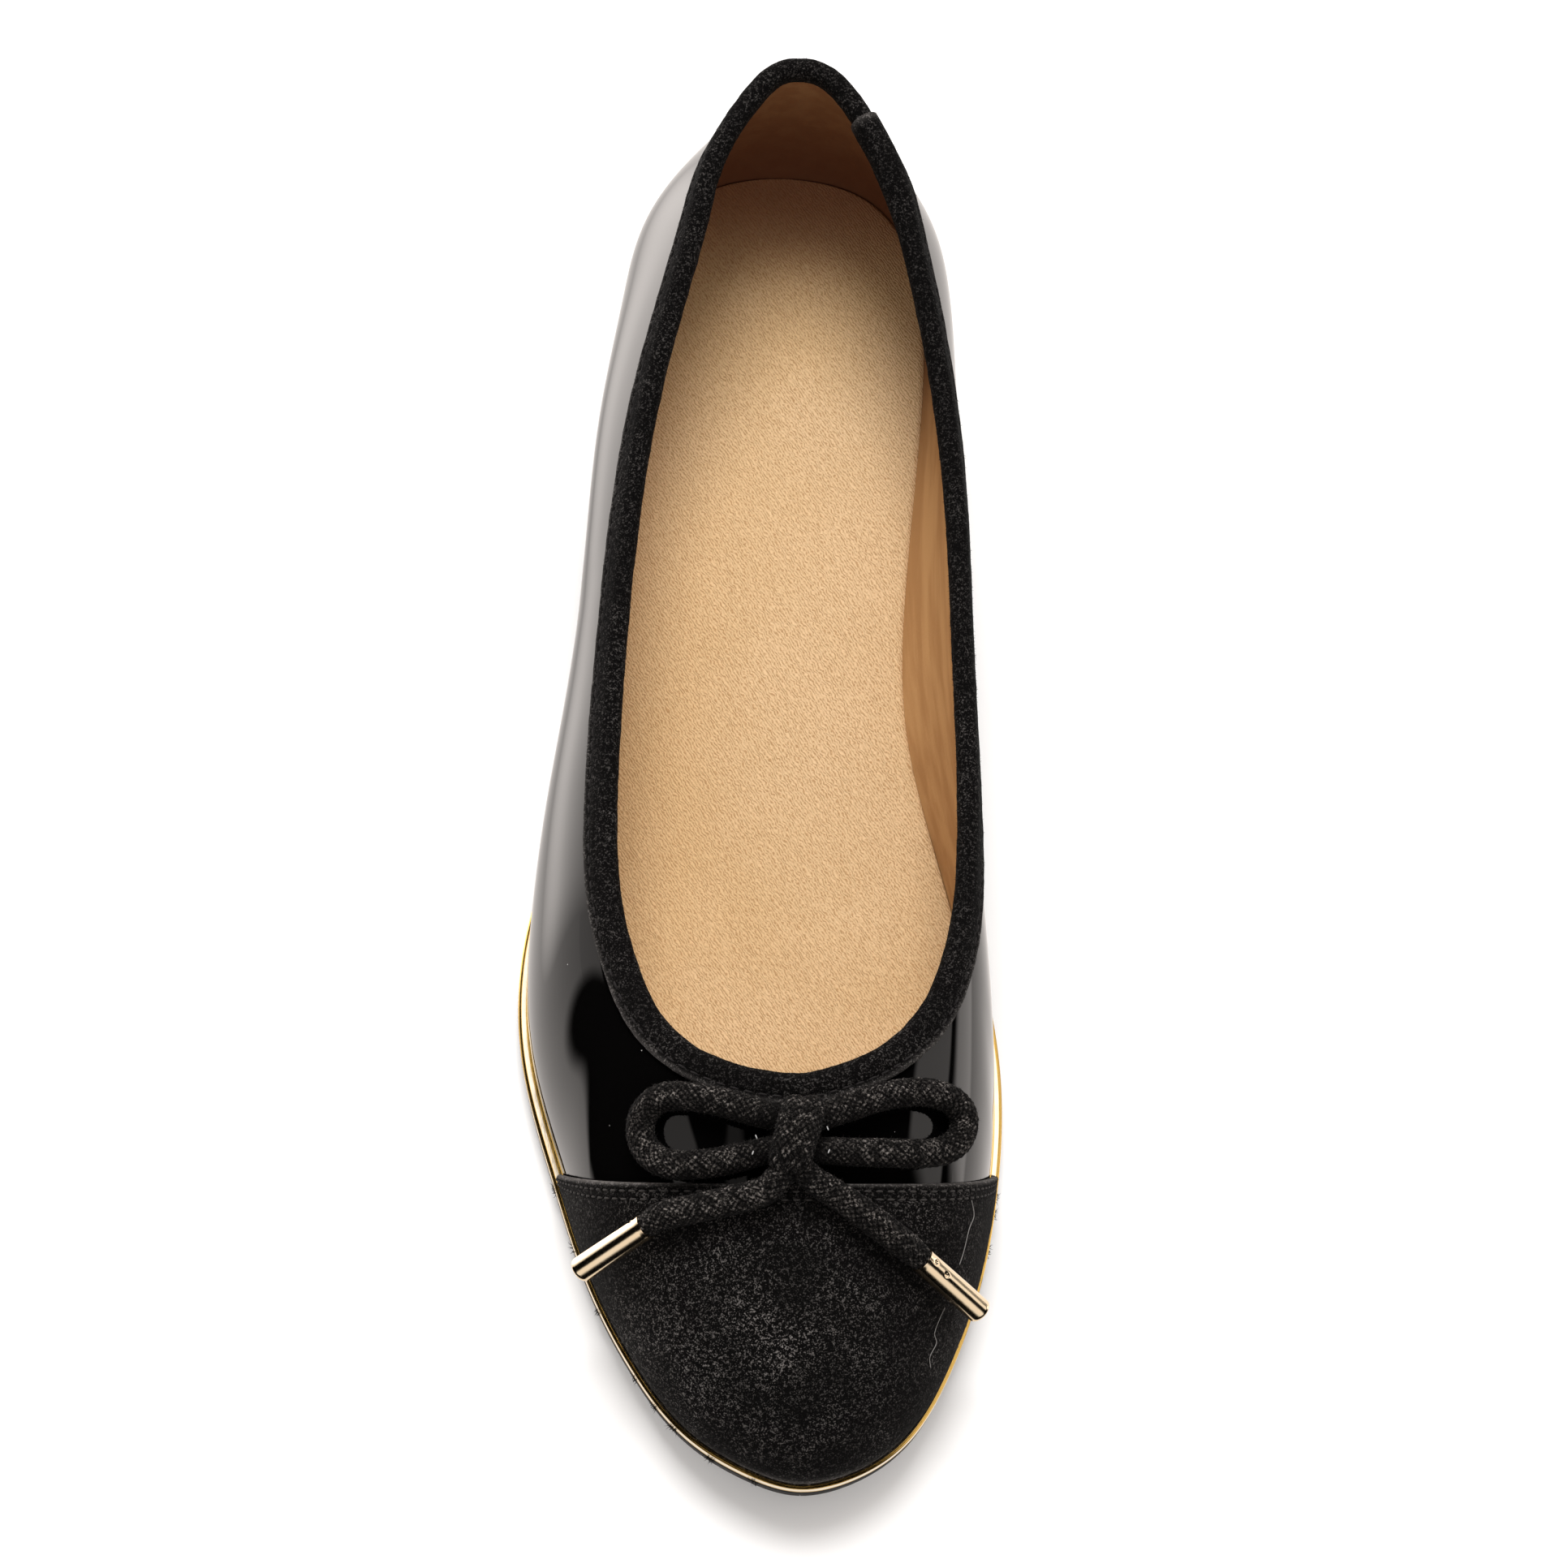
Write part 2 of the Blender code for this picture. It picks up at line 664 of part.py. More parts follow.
def make_bow():
    make_knot()
    for side, loop, end in (("lateral", LATERAL_LOOP, LATERAL_END), ("medial", MEDIAL_LOOP, MEDIAL_END)):
        make_cord(f"bow_loop_{side}", smooth_route(loop, LOOP_STEPS))
        end_route = smooth_route(end, END_STEPS)
        make_cord(f"bow_end_{side}", end_route)
        make_tip(f"cord_tip_{side}", end_route)


def main():
    clear_scene()
    make_heel()
    make_outsole()
    make_rand()
    make_insole()
    make_upper()
    make_toe_cap()
    make_binding()
    make_bow()


main()
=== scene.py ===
"""Looks of a ballet flat for the right foot: patent leather, a suede toe cap and collar binding, a cord
bow with metal tips, a metallic rand, a rubber sole and a leather insole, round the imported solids.
"""

import math
from collections import namedtuple

import bmesh
import bpy
import numpy as np
from mathutils import Matrix, Vector, noise


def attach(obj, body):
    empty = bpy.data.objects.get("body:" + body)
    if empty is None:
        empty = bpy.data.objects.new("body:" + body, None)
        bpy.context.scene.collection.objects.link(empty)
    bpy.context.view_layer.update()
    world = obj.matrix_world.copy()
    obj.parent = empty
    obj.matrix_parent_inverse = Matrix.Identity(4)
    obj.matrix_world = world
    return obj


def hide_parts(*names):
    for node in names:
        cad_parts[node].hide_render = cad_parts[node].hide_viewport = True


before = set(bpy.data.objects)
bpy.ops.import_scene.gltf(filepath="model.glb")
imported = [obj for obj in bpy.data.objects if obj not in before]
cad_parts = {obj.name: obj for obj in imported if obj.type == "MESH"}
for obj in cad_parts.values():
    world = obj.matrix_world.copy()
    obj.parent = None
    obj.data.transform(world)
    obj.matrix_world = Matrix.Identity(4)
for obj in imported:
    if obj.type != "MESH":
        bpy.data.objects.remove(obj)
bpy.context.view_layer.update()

BODY = "root"
MM = 0.001

# Sizes of the shoe, as its solids have them
LENGTH = 253 * MM
BALL_WIDTH = 84.4 * MM
BACK_HEIGHT = 60 * MM
HEEL_CENTRE = 28 * MM
HEEL_LIFT = 9 * MM
TOE_SPRING = 7 * MM
OUTSOLE_THICK = 3.5 * MM
RAND_THICK = 2.0 * MM
RAND_WIDE = 5.0 * MM
RAND_LEDGE = 1.8 * MM
INSOLE_THICK = 1.9 * MM
WALL = 1.5 * MM
GAP = 0.3 * MM
BINDING_LEATHER = 0.9 * MM
BINDING_OUTSIDE = 5.6 * MM
BINDING_INSIDE = 3.2 * MM
CAP_LEATHER = 1.1 * MM
CAP_START = 0.766
CAP_LEAN = math.radians(24.5)
CAP_TURN = math.radians(1)
HEEL_BREAST = 0.235
HEEL_INSET = 0.9 * MM
HEEL_TAPER = 0.9 * MM
CORD = 4.8 * MM
TIP_WIDE = 4.4 * MM
TIP_LONG = 15.0 * MM
TIP_WALL = 0.35 * MM
ARCH_START = 0.27
TREAD_START = 0.58
TREAD_END = 0.74
ROLL = WALL / 2 + GAP + BINDING_LEATHER
RAND_BASE = OUTSOLE_THICK + GAP
RAND_TOP = RAND_BASE + RAND_THICK
UPPER_BASE = RAND_TOP + GAP
INSOLE_TOP = UPPER_BASE + INSOLE_THICK

# Rows of the wall from the heel to the toe, as the solids have them
Sole = namedtuple("Sole", "along lateral medial")
SOLE = [
    Sole(0.000, 0.000, 0.000),
    Sole(0.020, 0.216, 0.216),
    Sole(0.060, 0.299, 0.299),
    Sole(0.130, 0.338, 0.334),
    Sole(0.230, 0.344, 0.320),
    Sole(0.340, 0.360, 0.291),
    Sole(0.440, 0.410, 0.294),
    Sole(0.530, 0.481, 0.361),
    Sole(0.610, 0.533, 0.422),
    Sole(0.690, 0.528, 0.457),
    Sole(0.770, 0.466, 0.449),
    Sole(0.850, 0.389, 0.406),
    Sole(0.915, 0.295, 0.338),
    Sole(0.963, 0.187, 0.254),
    Sole(0.990, 0.066, 0.149),
    Sole(1.000, -0.040, 0.040),
]
Collar = namedtuple("Collar", "along lateral medial high")
COLLAR = [
    Collar(0.018, -0.008, 0.008, 1.000),
    Collar(0.035, 0.080, 0.102, 0.992),
    Collar(0.075, 0.154, 0.174, 0.967),
    Collar(0.130, 0.203, 0.236, 0.912),
    Collar(0.228, 0.278, 0.302, 0.817),
    Collar(0.335, 0.332, 0.340, 0.752),
    Collar(0.430, 0.357, 0.352, 0.717),
    Collar(0.515, 0.370, 0.360, 0.698),
    Collar(0.585, 0.372, 0.359, 0.693),
    Collar(0.640, 0.354, 0.342, 0.695),
    Collar(0.690, 0.310, 0.297, 0.700),
    Collar(0.722, 0.255, 0.232, 0.707),
    Collar(0.742, 0.182, 0.156, 0.717),
    Collar(0.753, 0.100, 0.078, 0.723),
    Collar(0.757, 0.040, 0.040, 0.725),
    Collar(0.758, -0.008, 0.008, 0.725),
]
Bulge = namedtuple("Bulge", "top_out top_down foot_out foot_up")
LATERAL_BULGE = [
    Bulge(0.040, 0.233, 0.080, 0.233),
    Bulge(0.025, 0.225, 0.060, 0.230),
    Bulge(0.050, 0.215, 0.085, 0.220),
    Bulge(0.095, 0.185, 0.120, 0.208),
    Bulge(0.117, 0.175, 0.190, 0.200),
    Bulge(0.108, 0.155, 0.192, 0.195),
    Bulge(0.100, 0.140, 0.165, 0.195),
    Bulge(0.115, 0.115, 0.117, 0.200),
    Bulge(0.133, 0.095, 0.042, 0.205),
    Bulge(0.150, 0.067, 0.025, 0.215),
    Bulge(0.170, 0.058, 0.017, 0.235),
    Bulge(0.235, 0.060, 0.017, 0.265),
    Bulge(0.300, 0.075, 0.017, 0.290),
    Bulge(0.340, 0.090, 0.017, 0.308),
    Bulge(0.362, 0.098, 0.017, 0.317),
    Bulge(0.367, 0.100, 0.017, 0.317),
]
MEDIAL_BULGE = [
    LATERAL_BULGE[0],
    Bulge(0.025, 0.225, 0.060, 0.230),
    Bulge(0.055, 0.215, 0.100, 0.220),
    Bulge(0.085, 0.185, 0.125, 0.208),
    Bulge(0.070, 0.175, 0.125, 0.200),
    Bulge(0.040, 0.165, 0.115, 0.195),
    Bulge(0.030, 0.155, 0.105, 0.195),
    Bulge(0.035, 0.135, 0.060, 0.200),
    Bulge(0.050, 0.110, 0.030, 0.205),
    Bulge(0.075, 0.080, 0.005, 0.215),
    Bulge(0.125, 0.062, 0.005, 0.235),
    Bulge(0.215, 0.060, 0.012, 0.265),
    Bulge(0.297, 0.075, 0.017, 0.290),
    Bulge(0.340, 0.090, 0.017, 0.308),
    Bulge(0.362, 0.098, 0.017, 0.317),
    LATERAL_BULGE[-1],
]

# The bow's routes in millimetres, each from the knot outwards, as the solids have them
LATERAL_LOOP = [
    (-3.4, -170.8, 44.6),
    (-7.6, -169.6, 44.6),
    (-13.0, -168.0, 44.2),
    (-18.4, -166.8, 42.9),
    (-22.1, -166.9, 41.7),
    (-24.4, -168.8, 40.4),
    (-25.1, -171.6, 39.3),
    (-24.2, -174.6, 38.7),
    (-21.9, -176.8, 38.9),
    (-18.2, -177.9, 39.8),
    (-12.8, -177.8, 41.0),
    (-8.1, -177.0, 42.0),
    (-3.4, -176.2, 43.0),
]
MEDIAL_LOOP = [
    (4.4, -170.8, 44.6),
    (8.6, -169.1, 44.6),
    (13.4, -167.1, 44.1),
    (18.3, -165.4, 42.8),
    (22.4, -164.6, 41.5),
    (26.4, -164.8, 39.6),
    (28.8, -166.3, 37.7),
    (29.3, -168.6, 36.6),
    (28.2, -171.4, 36.6),
    (25.4, -173.6, 37.7),
    (21.2, -174.8, 39.3),
    (15.6, -175.4, 40.9),
    (10.1, -175.8, 42.0),
    (4.4, -176.2, 43.0),
]
LATERAL_END = [
    (-2.1, -180.9, 43.1),
    (-4.4, -183.2, 42.6),
    (-9.4, -184.5, 41.4),
    (-13.8, -185.2, 40.3),
    (-18.0, -185.8, 39.0),
    (-21.5, -186.2, 37.6),
    (-23.7, -187.2, 35.8),
]
MEDIAL_END = [
    (3.1, -180.9, 43.1),
    (5.8, -182.6, 42.6),
    (9.4, -184.6, 41.6),
    (13.4, -187.0, 40.2),
    (17.0, -189.2, 38.6),
    (19.8, -190.7, 37.0),
    (21.9, -191.9, 35.3),
]
KNOT_AT = (0.5, -174.1, 44.6)
KNOT_START = (0.5, -171.6, 44.6)
LATERAL_CROSSING = (-0.2, -177.7, 43.2)
MEDIAL_CROSSING = (1.2, -177.9, 41.8)
END_STEPS = 9

# The camera, at the photograph's angle to the shoe
CAMERA_ELEVATION = math.radians(65)
CAMERA_AZIMUTH = math.radians(-7)
CAMERA_DISTANCE = 1.1
CAMERA_TARGET = Vector((0.0, -98.5, 20.0)) * MM
CAMERA_LENS = 144.7


class Socket:
    """An output of a shader node. Arithmetic on it adds Math nodes beside it."""

    def __init__(self, nodes, output):
        self.nodes = nodes
        self.output = output

    def maths(self, operation, *others):
        return self.nodes.node("ShaderNodeMath", {"operation": operation}, dict(enumerate((self, *others))))

    def __add__(self, other):
        return self.maths("ADD", other)

    def __rsub__(self, other):
        return self.nodes.node("ShaderNodeMath", {"operation": "SUBTRACT"}, {0: other, 1: self})

    def __mul__(self, other):
        return self.maths("MULTIPLY", other)

    __radd__ = __add__
    __rmul__ = __mul__

    def span(self, low, high):
        """0 up to low and 1 from high on, smooth between. low may be the larger."""
        settings = {"interpolation_type": "SMOOTHSTEP"}
        inputs = {"Value": self, "From Min": low, "From Max": high}
        return self.nodes.node("ShaderNodeMapRange", settings, inputs)


class Nodes:
    """The nodes of a material or of the studio's sky."""

    def __init__(self, tree):
        self.tree = tree

    def feed(self, node, socket, value):
        target = node.inputs[socket]
        if isinstance(value, Socket):
            self.tree.links.new(value.output, target)
        elif target.type == "RGBA":
            target.default_value = (*value, 1.0)
        else:
            target.default_value = value

    def node(self, kind, settings=None, inputs=None, output=0):
        made = self.tree.nodes.new(kind)
        for name, value in (settings or {}).items():
            setattr(made, name, value)
        for socket, value in (inputs or {}).items():
            self.feed(made, socket, value)
        return Socket(self, made.outputs[output])

    def mix(self, factor, first, second):
        inputs = {0: factor, 6: first, 7: second}
        return self.node("ShaderNodeMix", {"data_type": "RGBA"}, inputs, 2)


class Finish(Nodes):
    """A material with one Principled shader, whose patterns are laid out in the shoe's own metres."""

    def __init__(self, name, **fixed):
        self.material = bpy.data.materials.new(name)
        self.material.use_nodes = True
        super().__init__(self.material.node_tree)
        self.shader = self.tree.nodes["Principled BSDF"]
        for socket, value in fixed.items():
            self.feed(self.shader, socket.replace("_", " "), value)
        self.place = self.node("ShaderNodeTexCoord", output="Object")

    def pale(self):
        """How pale the mesh says its surface is, at crests and raw edges; on the cord it also carries
        painted light and shade, and on the rand it marks the deeper gold painted as reflections.
        """
        return self.node("ShaderNodeAttribute", {"attribute_name": "pale"}, output="Fac")

    def mark(self, x, y, reach):
        """1 at a place in plan and 0 from reach on, in millimetres."""
        in_plan = {0: self.place, 1: (1.0, 1.0, 0.0)}
        flat = self.node("ShaderNodeVectorMath", {"operation": "MULTIPLY"}, in_plan)
        ends = {0: flat, 1: (x * MM, y * MM, 0.0)}
        apart = self.node("ShaderNodeVectorMath", {"operation": "DISTANCE"}, ends, "Value")
        return apart.span(reach * MM, 0.0)

    def noise(self, scale, detail=2.0, at=None):
        inputs = {"Vector": at or self.place, "Scale": scale, "Detail": detail}
        return self.node("ShaderNodeTexNoise", None, inputs)

    def stretched(self, *factors, turn=(0.0, 0.0, 0.0)):
        """The place, turned and then scaled along each axis, for patterns that run one way."""
        inputs = {"Vector": self.place, "Scale": factors, "Rotation": turn}
        return self.node("ShaderNodeMapping", {"vector_type": "POINT"}, inputs)

    def axis(self, name):
        return self.node("ShaderNodeSeparateXYZ", None, {"Vector": self.place}, name)

    def specks(self, scale, size, share):
        """Small round spots: one cell in share of the cells holds one."""
        cell = {"Vector": self.place, "Scale": scale}
        near = self.node("ShaderNodeTexVoronoi", None, cell, "Distance")
        chance = self.node("ShaderNodeTexVoronoi", None, cell, "Color")
        red = self.node("ShaderNodeSeparateColor", None, {"Color": chance}, 0)
        return near.span(size, size * 0.6) * red.span(1 - share, 1 - share + 0.001)

    def bump(self, height, distance):
        return self.node("ShaderNodeBump", None, {"Height": height, "Distance": distance})

    def done(self, colour=None, roughness=None, normal=None):
        for socket, value in (("Base Color", colour), ("Roughness", roughness), ("Normal", normal)):
            if value is not None:
                self.feed(self.shader, socket, value)
        return self.material


BLACK_DYE = (0.0022, 0.0020, 0.0020)


def patent_leather():
    """Black lacquer over leather: a clear hard coat with a faint ripple, and a little dust."""
    f = Finish("patent_leather", Roughness=0.4, Specular_IOR_Level=0.0)
    for socket, value in (("Coat Weight", 1.0), ("Coat Roughness", 0.015), ("Coat IOR", 1.52)):
        f.feed(f.shader, socket, value)
    dust = f.specks(150, 0.035, 0.08) + f.specks(400, 0.05, 0.04)
    colour = f.mix(dust, (0.0014, 0.0013, 0.0013), (0.40, 0.39, 0.38))
    return f.done(colour, normal=f.bump(f.noise(1500, 2.0), 0.003 * MM))


# Where the cap's nap was brushed the light way: x, y and reach in plan in millimetres, and how much
CAP_MARKS = [
    (-7.0, -201.5, 7.5, 0.55),
    (-2.5, -208.0, 8.0, 0.80),
    (3.5, -205.0, 7.0, 0.45),
    (-22.0, -199.5, 13.0, 0.40),
    (-14.0, -211.0, 9.0, 0.36),
    (-9.5, -194.0, 9.0, 0.28),
    (10.0, -198.0, 10.0, 0.14),
]


def black_suede(name, light, even, marks=()):
    """Brushed black nap: fine pale fibre ends, more of them where the nap lies the light way."""
    f = Finish(name, Specular_IOR_Level=0.08, Sheen_Weight=0.02, Sheen_Roughness=0.45)
    f.feed(f.shader, "Sheen Tint", (0.6, 0.58, 0.57))
    fibre = f.noise(3600, 2.0)
    clump = f.noise(1500, 2.0)
    brushed = even + f.noise(110, 4.0).span(0.38, 0.68) * (1 - even) * 0.40
    for x, y, reach, amount in marks:
        brushed = brushed + f.mark(x, y, reach) * amount
    grains = (fibre * 0.62 + clump * 0.38).span(0.50, 0.66)
    edge = f.pale()
    pale = grains * (brushed + edge) + edge * 0.45
    colour = f.mix(pale, BLACK_DYE, (light, light * 0.93, light * 0.89))
    return f.done(colour, 0.95, f.bump(fibre * 0.5 + clump * 0.5, 0.22 * MM))


def cord_cotton():
    """Black cotton yarn, fuzzy, grey on the crests of its braid partly from wear and partly as painted
    light, with painted shade between strands and near the knot.
    """
    f = Finish("cord_cotton", Specular_IOR_Level=0.08, Sheen_Weight=0.02, Sheen_Roughness=0.5)
    yarn = f.noise(3000, 3.0)
    faded = f.noise(600, 3.0).span(0.42, 0.62)
    pale = f.pale() * yarn.span(0.42, 0.62) * (0.15 + faded * 0.85)
    colour = f.mix(pale, BLACK_DYE, (0.215, 0.196, 0.182))
    return f.done(colour, 0.95, f.bump(yarn, 0.15 * MM))


def thread(name, colour):
    """Twisted thread or loose fibre, darker between its strands as painted shade."""
    f = Finish(name, Specular_IOR_Level=0.2, Sheen_Weight=0.02)
    twist = f.noise(2400, 2.0)
    return f.done(f.mix(twist, [c * 0.55 for c in colour], colour), 0.75, f.bump(twist, 0.05 * MM))


def insole_leather():
    """Vegetable-tanned beige with a fine slanting grain, and painted shade under the heel that makes it
    redder and darker there.
    """
    f = Finish("insole_leather", Specular_IOR_Level=0.25)
    slant = f.stretched(1.0, 1.0, 1.0, turn=(0.0, 0.0, math.radians(56)))
    wavy = {"Vector": slant, "Scale": 640.0, "Distortion": 7.0, "Detail": 2.0, "Detail Scale": 1.6}
    grain = f.node("ShaderNodeTexWave", {"bands_direction": "Y"}, wavy, "Fac")
    pores = f.noise(2000, 3.0)
    clouds = f.noise(24, 3.0)
    blotch = f.noise(9, 2.0)
    colour = f.mix(clouds.span(0.35, 0.7), (0.655, 0.445, 0.232), (0.730, 0.510, 0.290))
    colour = f.mix(blotch.span(0.40, 0.62) * 0.3, colour, (0.80, 0.60, 0.38))
    colour = f.mix(grain * (0.24 + pores.span(0.35, 0.62) * 0.60), colour, (0.36, 0.20, 0.08))
    # Painted shade: the heel end is darker and redder, standing in for the shadow of the heel's wall.
    colour = f.mix(f.axis("Y").span(-0.001, 0.023) * 0.78, colour, (0.26, 0.088, 0.036))
    colour = f.mix(f.specks(60, 0.010, 0.22), colour, (0.06, 0.035, 0.02))
    height = grain * 0.6 + pores * 0.5
    return f.done(colour, 0.55 + pores * 0.12, f.bump(height, 0.12 * MM))


def lining_leather():
    """Tan lining with streaks along the shoe, browner and darker round the heel as painted shade, most of
    all low down there.
    """
    f = Finish("lining_leather", Specular_IOR_Level=0.2)
    streaks = f.noise(60, 4.0, f.stretched(5.0, 0.5, 5.0))
    pores = f.noise(1600, 3.0)
    # Painted shade round the heel, deepest low down towards the sock.
    heel = f.axis("Y").span(-0.040, 0.004)
    low = f.axis("Z").span(0.054, 0.020)
    colour = f.mix(streaks.span(0.38, 0.64), (0.42, 0.225, 0.092), (0.52, 0.30, 0.130))
    colour = f.mix(heel * (0.64 + low * 0.30), colour, (0.105, 0.034, 0.015))
    return f.done(colour, 0.60 + pores * 0.12, f.bump(pores * 0.4 + streaks * 0.8, 0.09 * MM))


def metallic_strip():
    """Pale gold foil, with deeper gold painted along its two raised edges and in bands on its ledge as
    reflections.
    """
    f = Finish("metallic_strip", Metallic=1.0)
    rubbed = f.noise(700, 3.0, f.stretched(1.0, 0.35, 3.0))
    tone_mask = f.noise(140, 3.0).span(0.52, 0.72)
    colour = f.mix(tone_mask * 0.5, (1.0, 0.91, 0.74), (0.95, 0.78, 0.50))
    # Painted reflection: deeper gold where the mesh marks the edges and ledge bands.
    colour = f.mix(f.pale(), colour, (0.74, 0.48, 0.13))
    return f.done(colour, 0.13 + rubbed * 0.12, f.bump(rubbed, 0.03 * MM))


def tip_metal():
    """Polished pale gold plate."""
    f = Finish("tip_metal", Metallic=1.0)
    drawn = f.noise(900, 2.0)
    colour = f.mix(f.noise(120, 2.0), (0.96, 0.76, 0.50), (1.0, 0.85, 0.62))
    return f.done(colour, 0.12 + drawn * 0.08, f.bump(drawn, 0.01 * MM))


def sole_rubber():
    """Matt black rubber, greyer where it is scuffed."""
    f = Finish("sole_rubber", Specular_IOR_Level=0.35)
    pebble = f.noise(1300, 3.0)
    scuff = f.noise(70, 4.0).span(0.50, 0.75)
    colour = f.mix(scuff * 0.6, (0.012, 0.0115, 0.012), (0.035, 0.034, 0.033))
    return f.done(colour, 0.60 + scuff * 0.2, f.bump(pebble, 0.10 * MM))


def closed_spline(knots, values):
    """A smooth closed curve through a row of values at each knot. The knots rise from 0 to under 1."""
    count = len(knots)
    step = np.diff(np.append(knots, 1 + knots[0]))
    before = np.roll(step, 1)
    slope = (np.roll(values, -1, axis=0) - values) / step[:, None]
    system = np.zeros((count, count))
    for i in range(count):
        system[i, i - 1] = before[i]
        system[i, i] = 2 * (before[i] + step[i])
        system[i, (i + 1) % count] = step[i]
    bend = np.linalg.solve(system, 6 * (slope - np.roll(slope, 1, axis=0)))
    after_value, after_bend = np.roll(values, -1, axis=0), np.roll(bend, -1, axis=0)

    def at(turns):
        turns = np.mod(turns, 1.0)
        i = np.searchsorted(knots, turns, side="right") - 1
        width = step[i][:, None]
        b = (turns - knots[i])[:, None] / width
        a = 1 - b
        cubic = (a**3 - a) * bend[i] + (b**3 - b) * after_bend[i]
        return a * values[i] + b * after_value[i] + cubic * width**2 / 6

    return at


def both_sides(lateral, medial):
    return np.array(list(lateral) + list(medial[-2:0:-1]), float)


def make_knots():
    """A turn for each row, the same on both sides, spaced as the sole's rows are."""
    along = np.array([row.along for row in SOLE]) * LENGTH
    wide = [np.array([getattr(row, side) for row in SOLE]) * BALL_WIDTH for side in ("lateral", "medial")]
    wide[1][[0, -1]] = -wide[0][[0, -1]]
    gaps = [np.hypot(np.diff(along), np.diff(x)) for x in wide]
    run = np.concatenate([[0], np.cumsum(sum(gaps))])
    half = run / run[-1] / 2
    return np.concatenate([half, 1 - half[-2:0:-1]])


KNOTS = make_knots()


def plan_rows(rows):
    lateral = [(-r.lateral * BALL_WIDTH, HEEL_CENTRE - r.along * LENGTH) for r in rows]
    medial = [(r.medial * BALL_WIDTH, HEEL_CENTRE - r.along * LENGTH) for r in rows]
    return both_sides(lateral, medial)


SOLE_LINE = closed_spline(KNOTS, plan_rows(SOLE))
COLLAR_LINE = closed_spline(KNOTS, plan_rows(COLLAR))
HIGH = [[row.high * BACK_HEIGHT - ROLL] for row in COLLAR]
COLLAR_HIGH = closed_spline(KNOTS, both_sides(HIGH, HIGH))
BULGE = closed_spline(KNOTS, both_sides(LATERAL_BULGE, MEDIAL_BULGE) * BACK_HEIGHT)


def outward(line, turns):
    """Unit normal in plan, pointing away from the foot."""
    small = 1e-4
    ahead = line(turns + small) - line(turns - small)
    normal = np.stack([ahead[:, 1], -ahead[:, 0]], axis=1)
    return normal / np.linalg.norm(normal, axis=1)[:, None]


def inset_line(turns, inset):
    return SOLE_LINE(turns) - inset * outward(SOLE_LINE, turns)


def rise(y):
    """Height of the sole's underside over the floor, leaving out the heel block."""
    share = np.clip((HEEL_CENTRE - np.asarray(y, float)) / LENGTH, 0.0, 1.0)
    down = np.clip((share - ARCH_START) / (TREAD_START - ARCH_START), 0.0, 1.0)
    up = np.clip((share - TREAD_END) / (1.0 - TREAD_END), 0.0, 1.0)
    return HEEL_LIFT * (1 - down * down * (3 - 2 * down)) + TOE_SPRING * up**2


def raised(plan, over):
    return np.column_stack([plan, rise(plan[:, 1]) + over])


def wall_points(turns, share):
    """The middle of the upper's wall: share runs from 0 at its top edge to 1 at the sole."""
    top = np.column_stack([COLLAR_LINE(turns), COLLAR_HIGH(turns)])
    foot = raised(inset_line(turns, RAND_LEDGE + WALL / 2), UPPER_BASE)
    top_out, top_down, foot_out, foot_up = BULGE(turns).T
    from_top = top + np.column_stack([outward(COLLAR_LINE, turns) * top_out[:, None], -top_down])
    from_foot = foot + np.column_stack([outward(SOLE_LINE, turns) * foot_out[:, None], foot_up])
    t = np.asarray(share, float)[:, None]
    s = 1 - t
    return s**3 * top + 3 * s * s * t * from_top + 3 * s * t * t * from_foot + t**3 * foot


def wall_normals(turns, share):
    """Unit normal of the upper's wall, pointing away from the foot."""
    small = 1e-4
    round_way = wall_points(turns + small, share) - wall_points(turns - small, share)
    down_way = wall_points(turns, share + small) - wall_points(turns, share - small)
    normal = np.cross(down_way, round_way)
    return normal / np.linalg.norm(normal, axis=1)[:, None]


def offset_wall(turns, share, out):
    return wall_points(turns, share) + np.reshape(out, (-1, 1)) * wall_normals(turns, share)


def wall_grid(turns, shares, out):
    """Points for a grid: one row of shares for each turn, at a distance out from the wall's middle."""
    rows, columns = shares.shape
    flat = np.repeat(turns, columns)
    out = np.broadcast_to(out, shares.shape).ravel()
    return offset_wall(flat, shares.ravel(), out).reshape(rows, columns, 3)


def crossing(values, shares):
    """For each row, the share at which its rising values pass zero."""
    return np.array([np.interp(0.0, row, shares) for row in values])


def foot_shares(turns, out, over):
    """The share at which the surface this far out comes down to a height over the sole's underside."""
    shares = np.linspace(0.6, 1.2, 61)
    grid = wall_grid(turns, np.tile(shares, (len(turns), 1)), out)
    return crossing(rise(grid[:, :, 1]) + over - grid[:, :, 2], shares)


def depth_shares(turns, depths):
    """A row of shares for each turn, at the given depths below the top edge, measured down the wall."""
    shares = np.linspace(0, 1, 65)
    grid = wall_grid(turns, np.tile(shares, (len(turns), 1)), 0.0)
    steps = np.linalg.norm(np.diff(grid, axis=1), axis=2)
    runs = np.concatenate([np.zeros((len(turns), 1)), np.cumsum(steps, axis=1)], axis=1)
    return np.array([np.interp(depths, run, shares) for run in runs])


def cap_shares(turns):
    """The share at which each line of the wall passes the plane of the toe cap's edge, or 1."""
    shares = np.linspace(0, 1, 129)
    grid = wall_grid(turns, np.tile(shares, (len(turns), 1)), 0.0)
    start = HEEL_CENTRE - CAP_START * LENGTH
    lean = math.tan(CAP_LEAN) * (grid[:, :, 2] - UPPER_BASE)
    ahead = start + math.tan(CAP_TURN) * grid[:, :, 0] - lean - grid[:, :, 1]
    found = np.ones(len(turns))
    for row, line in enumerate(ahead):
        passed = np.nonzero(line > 0)[0]
        if len(passed):
            i = max(passed[0], 1)
            part = line[i - 1] / (line[i - 1] - line[i])
            found[row] = shares[i - 1] + part * (shares[i] - shares[i - 1])
    return found


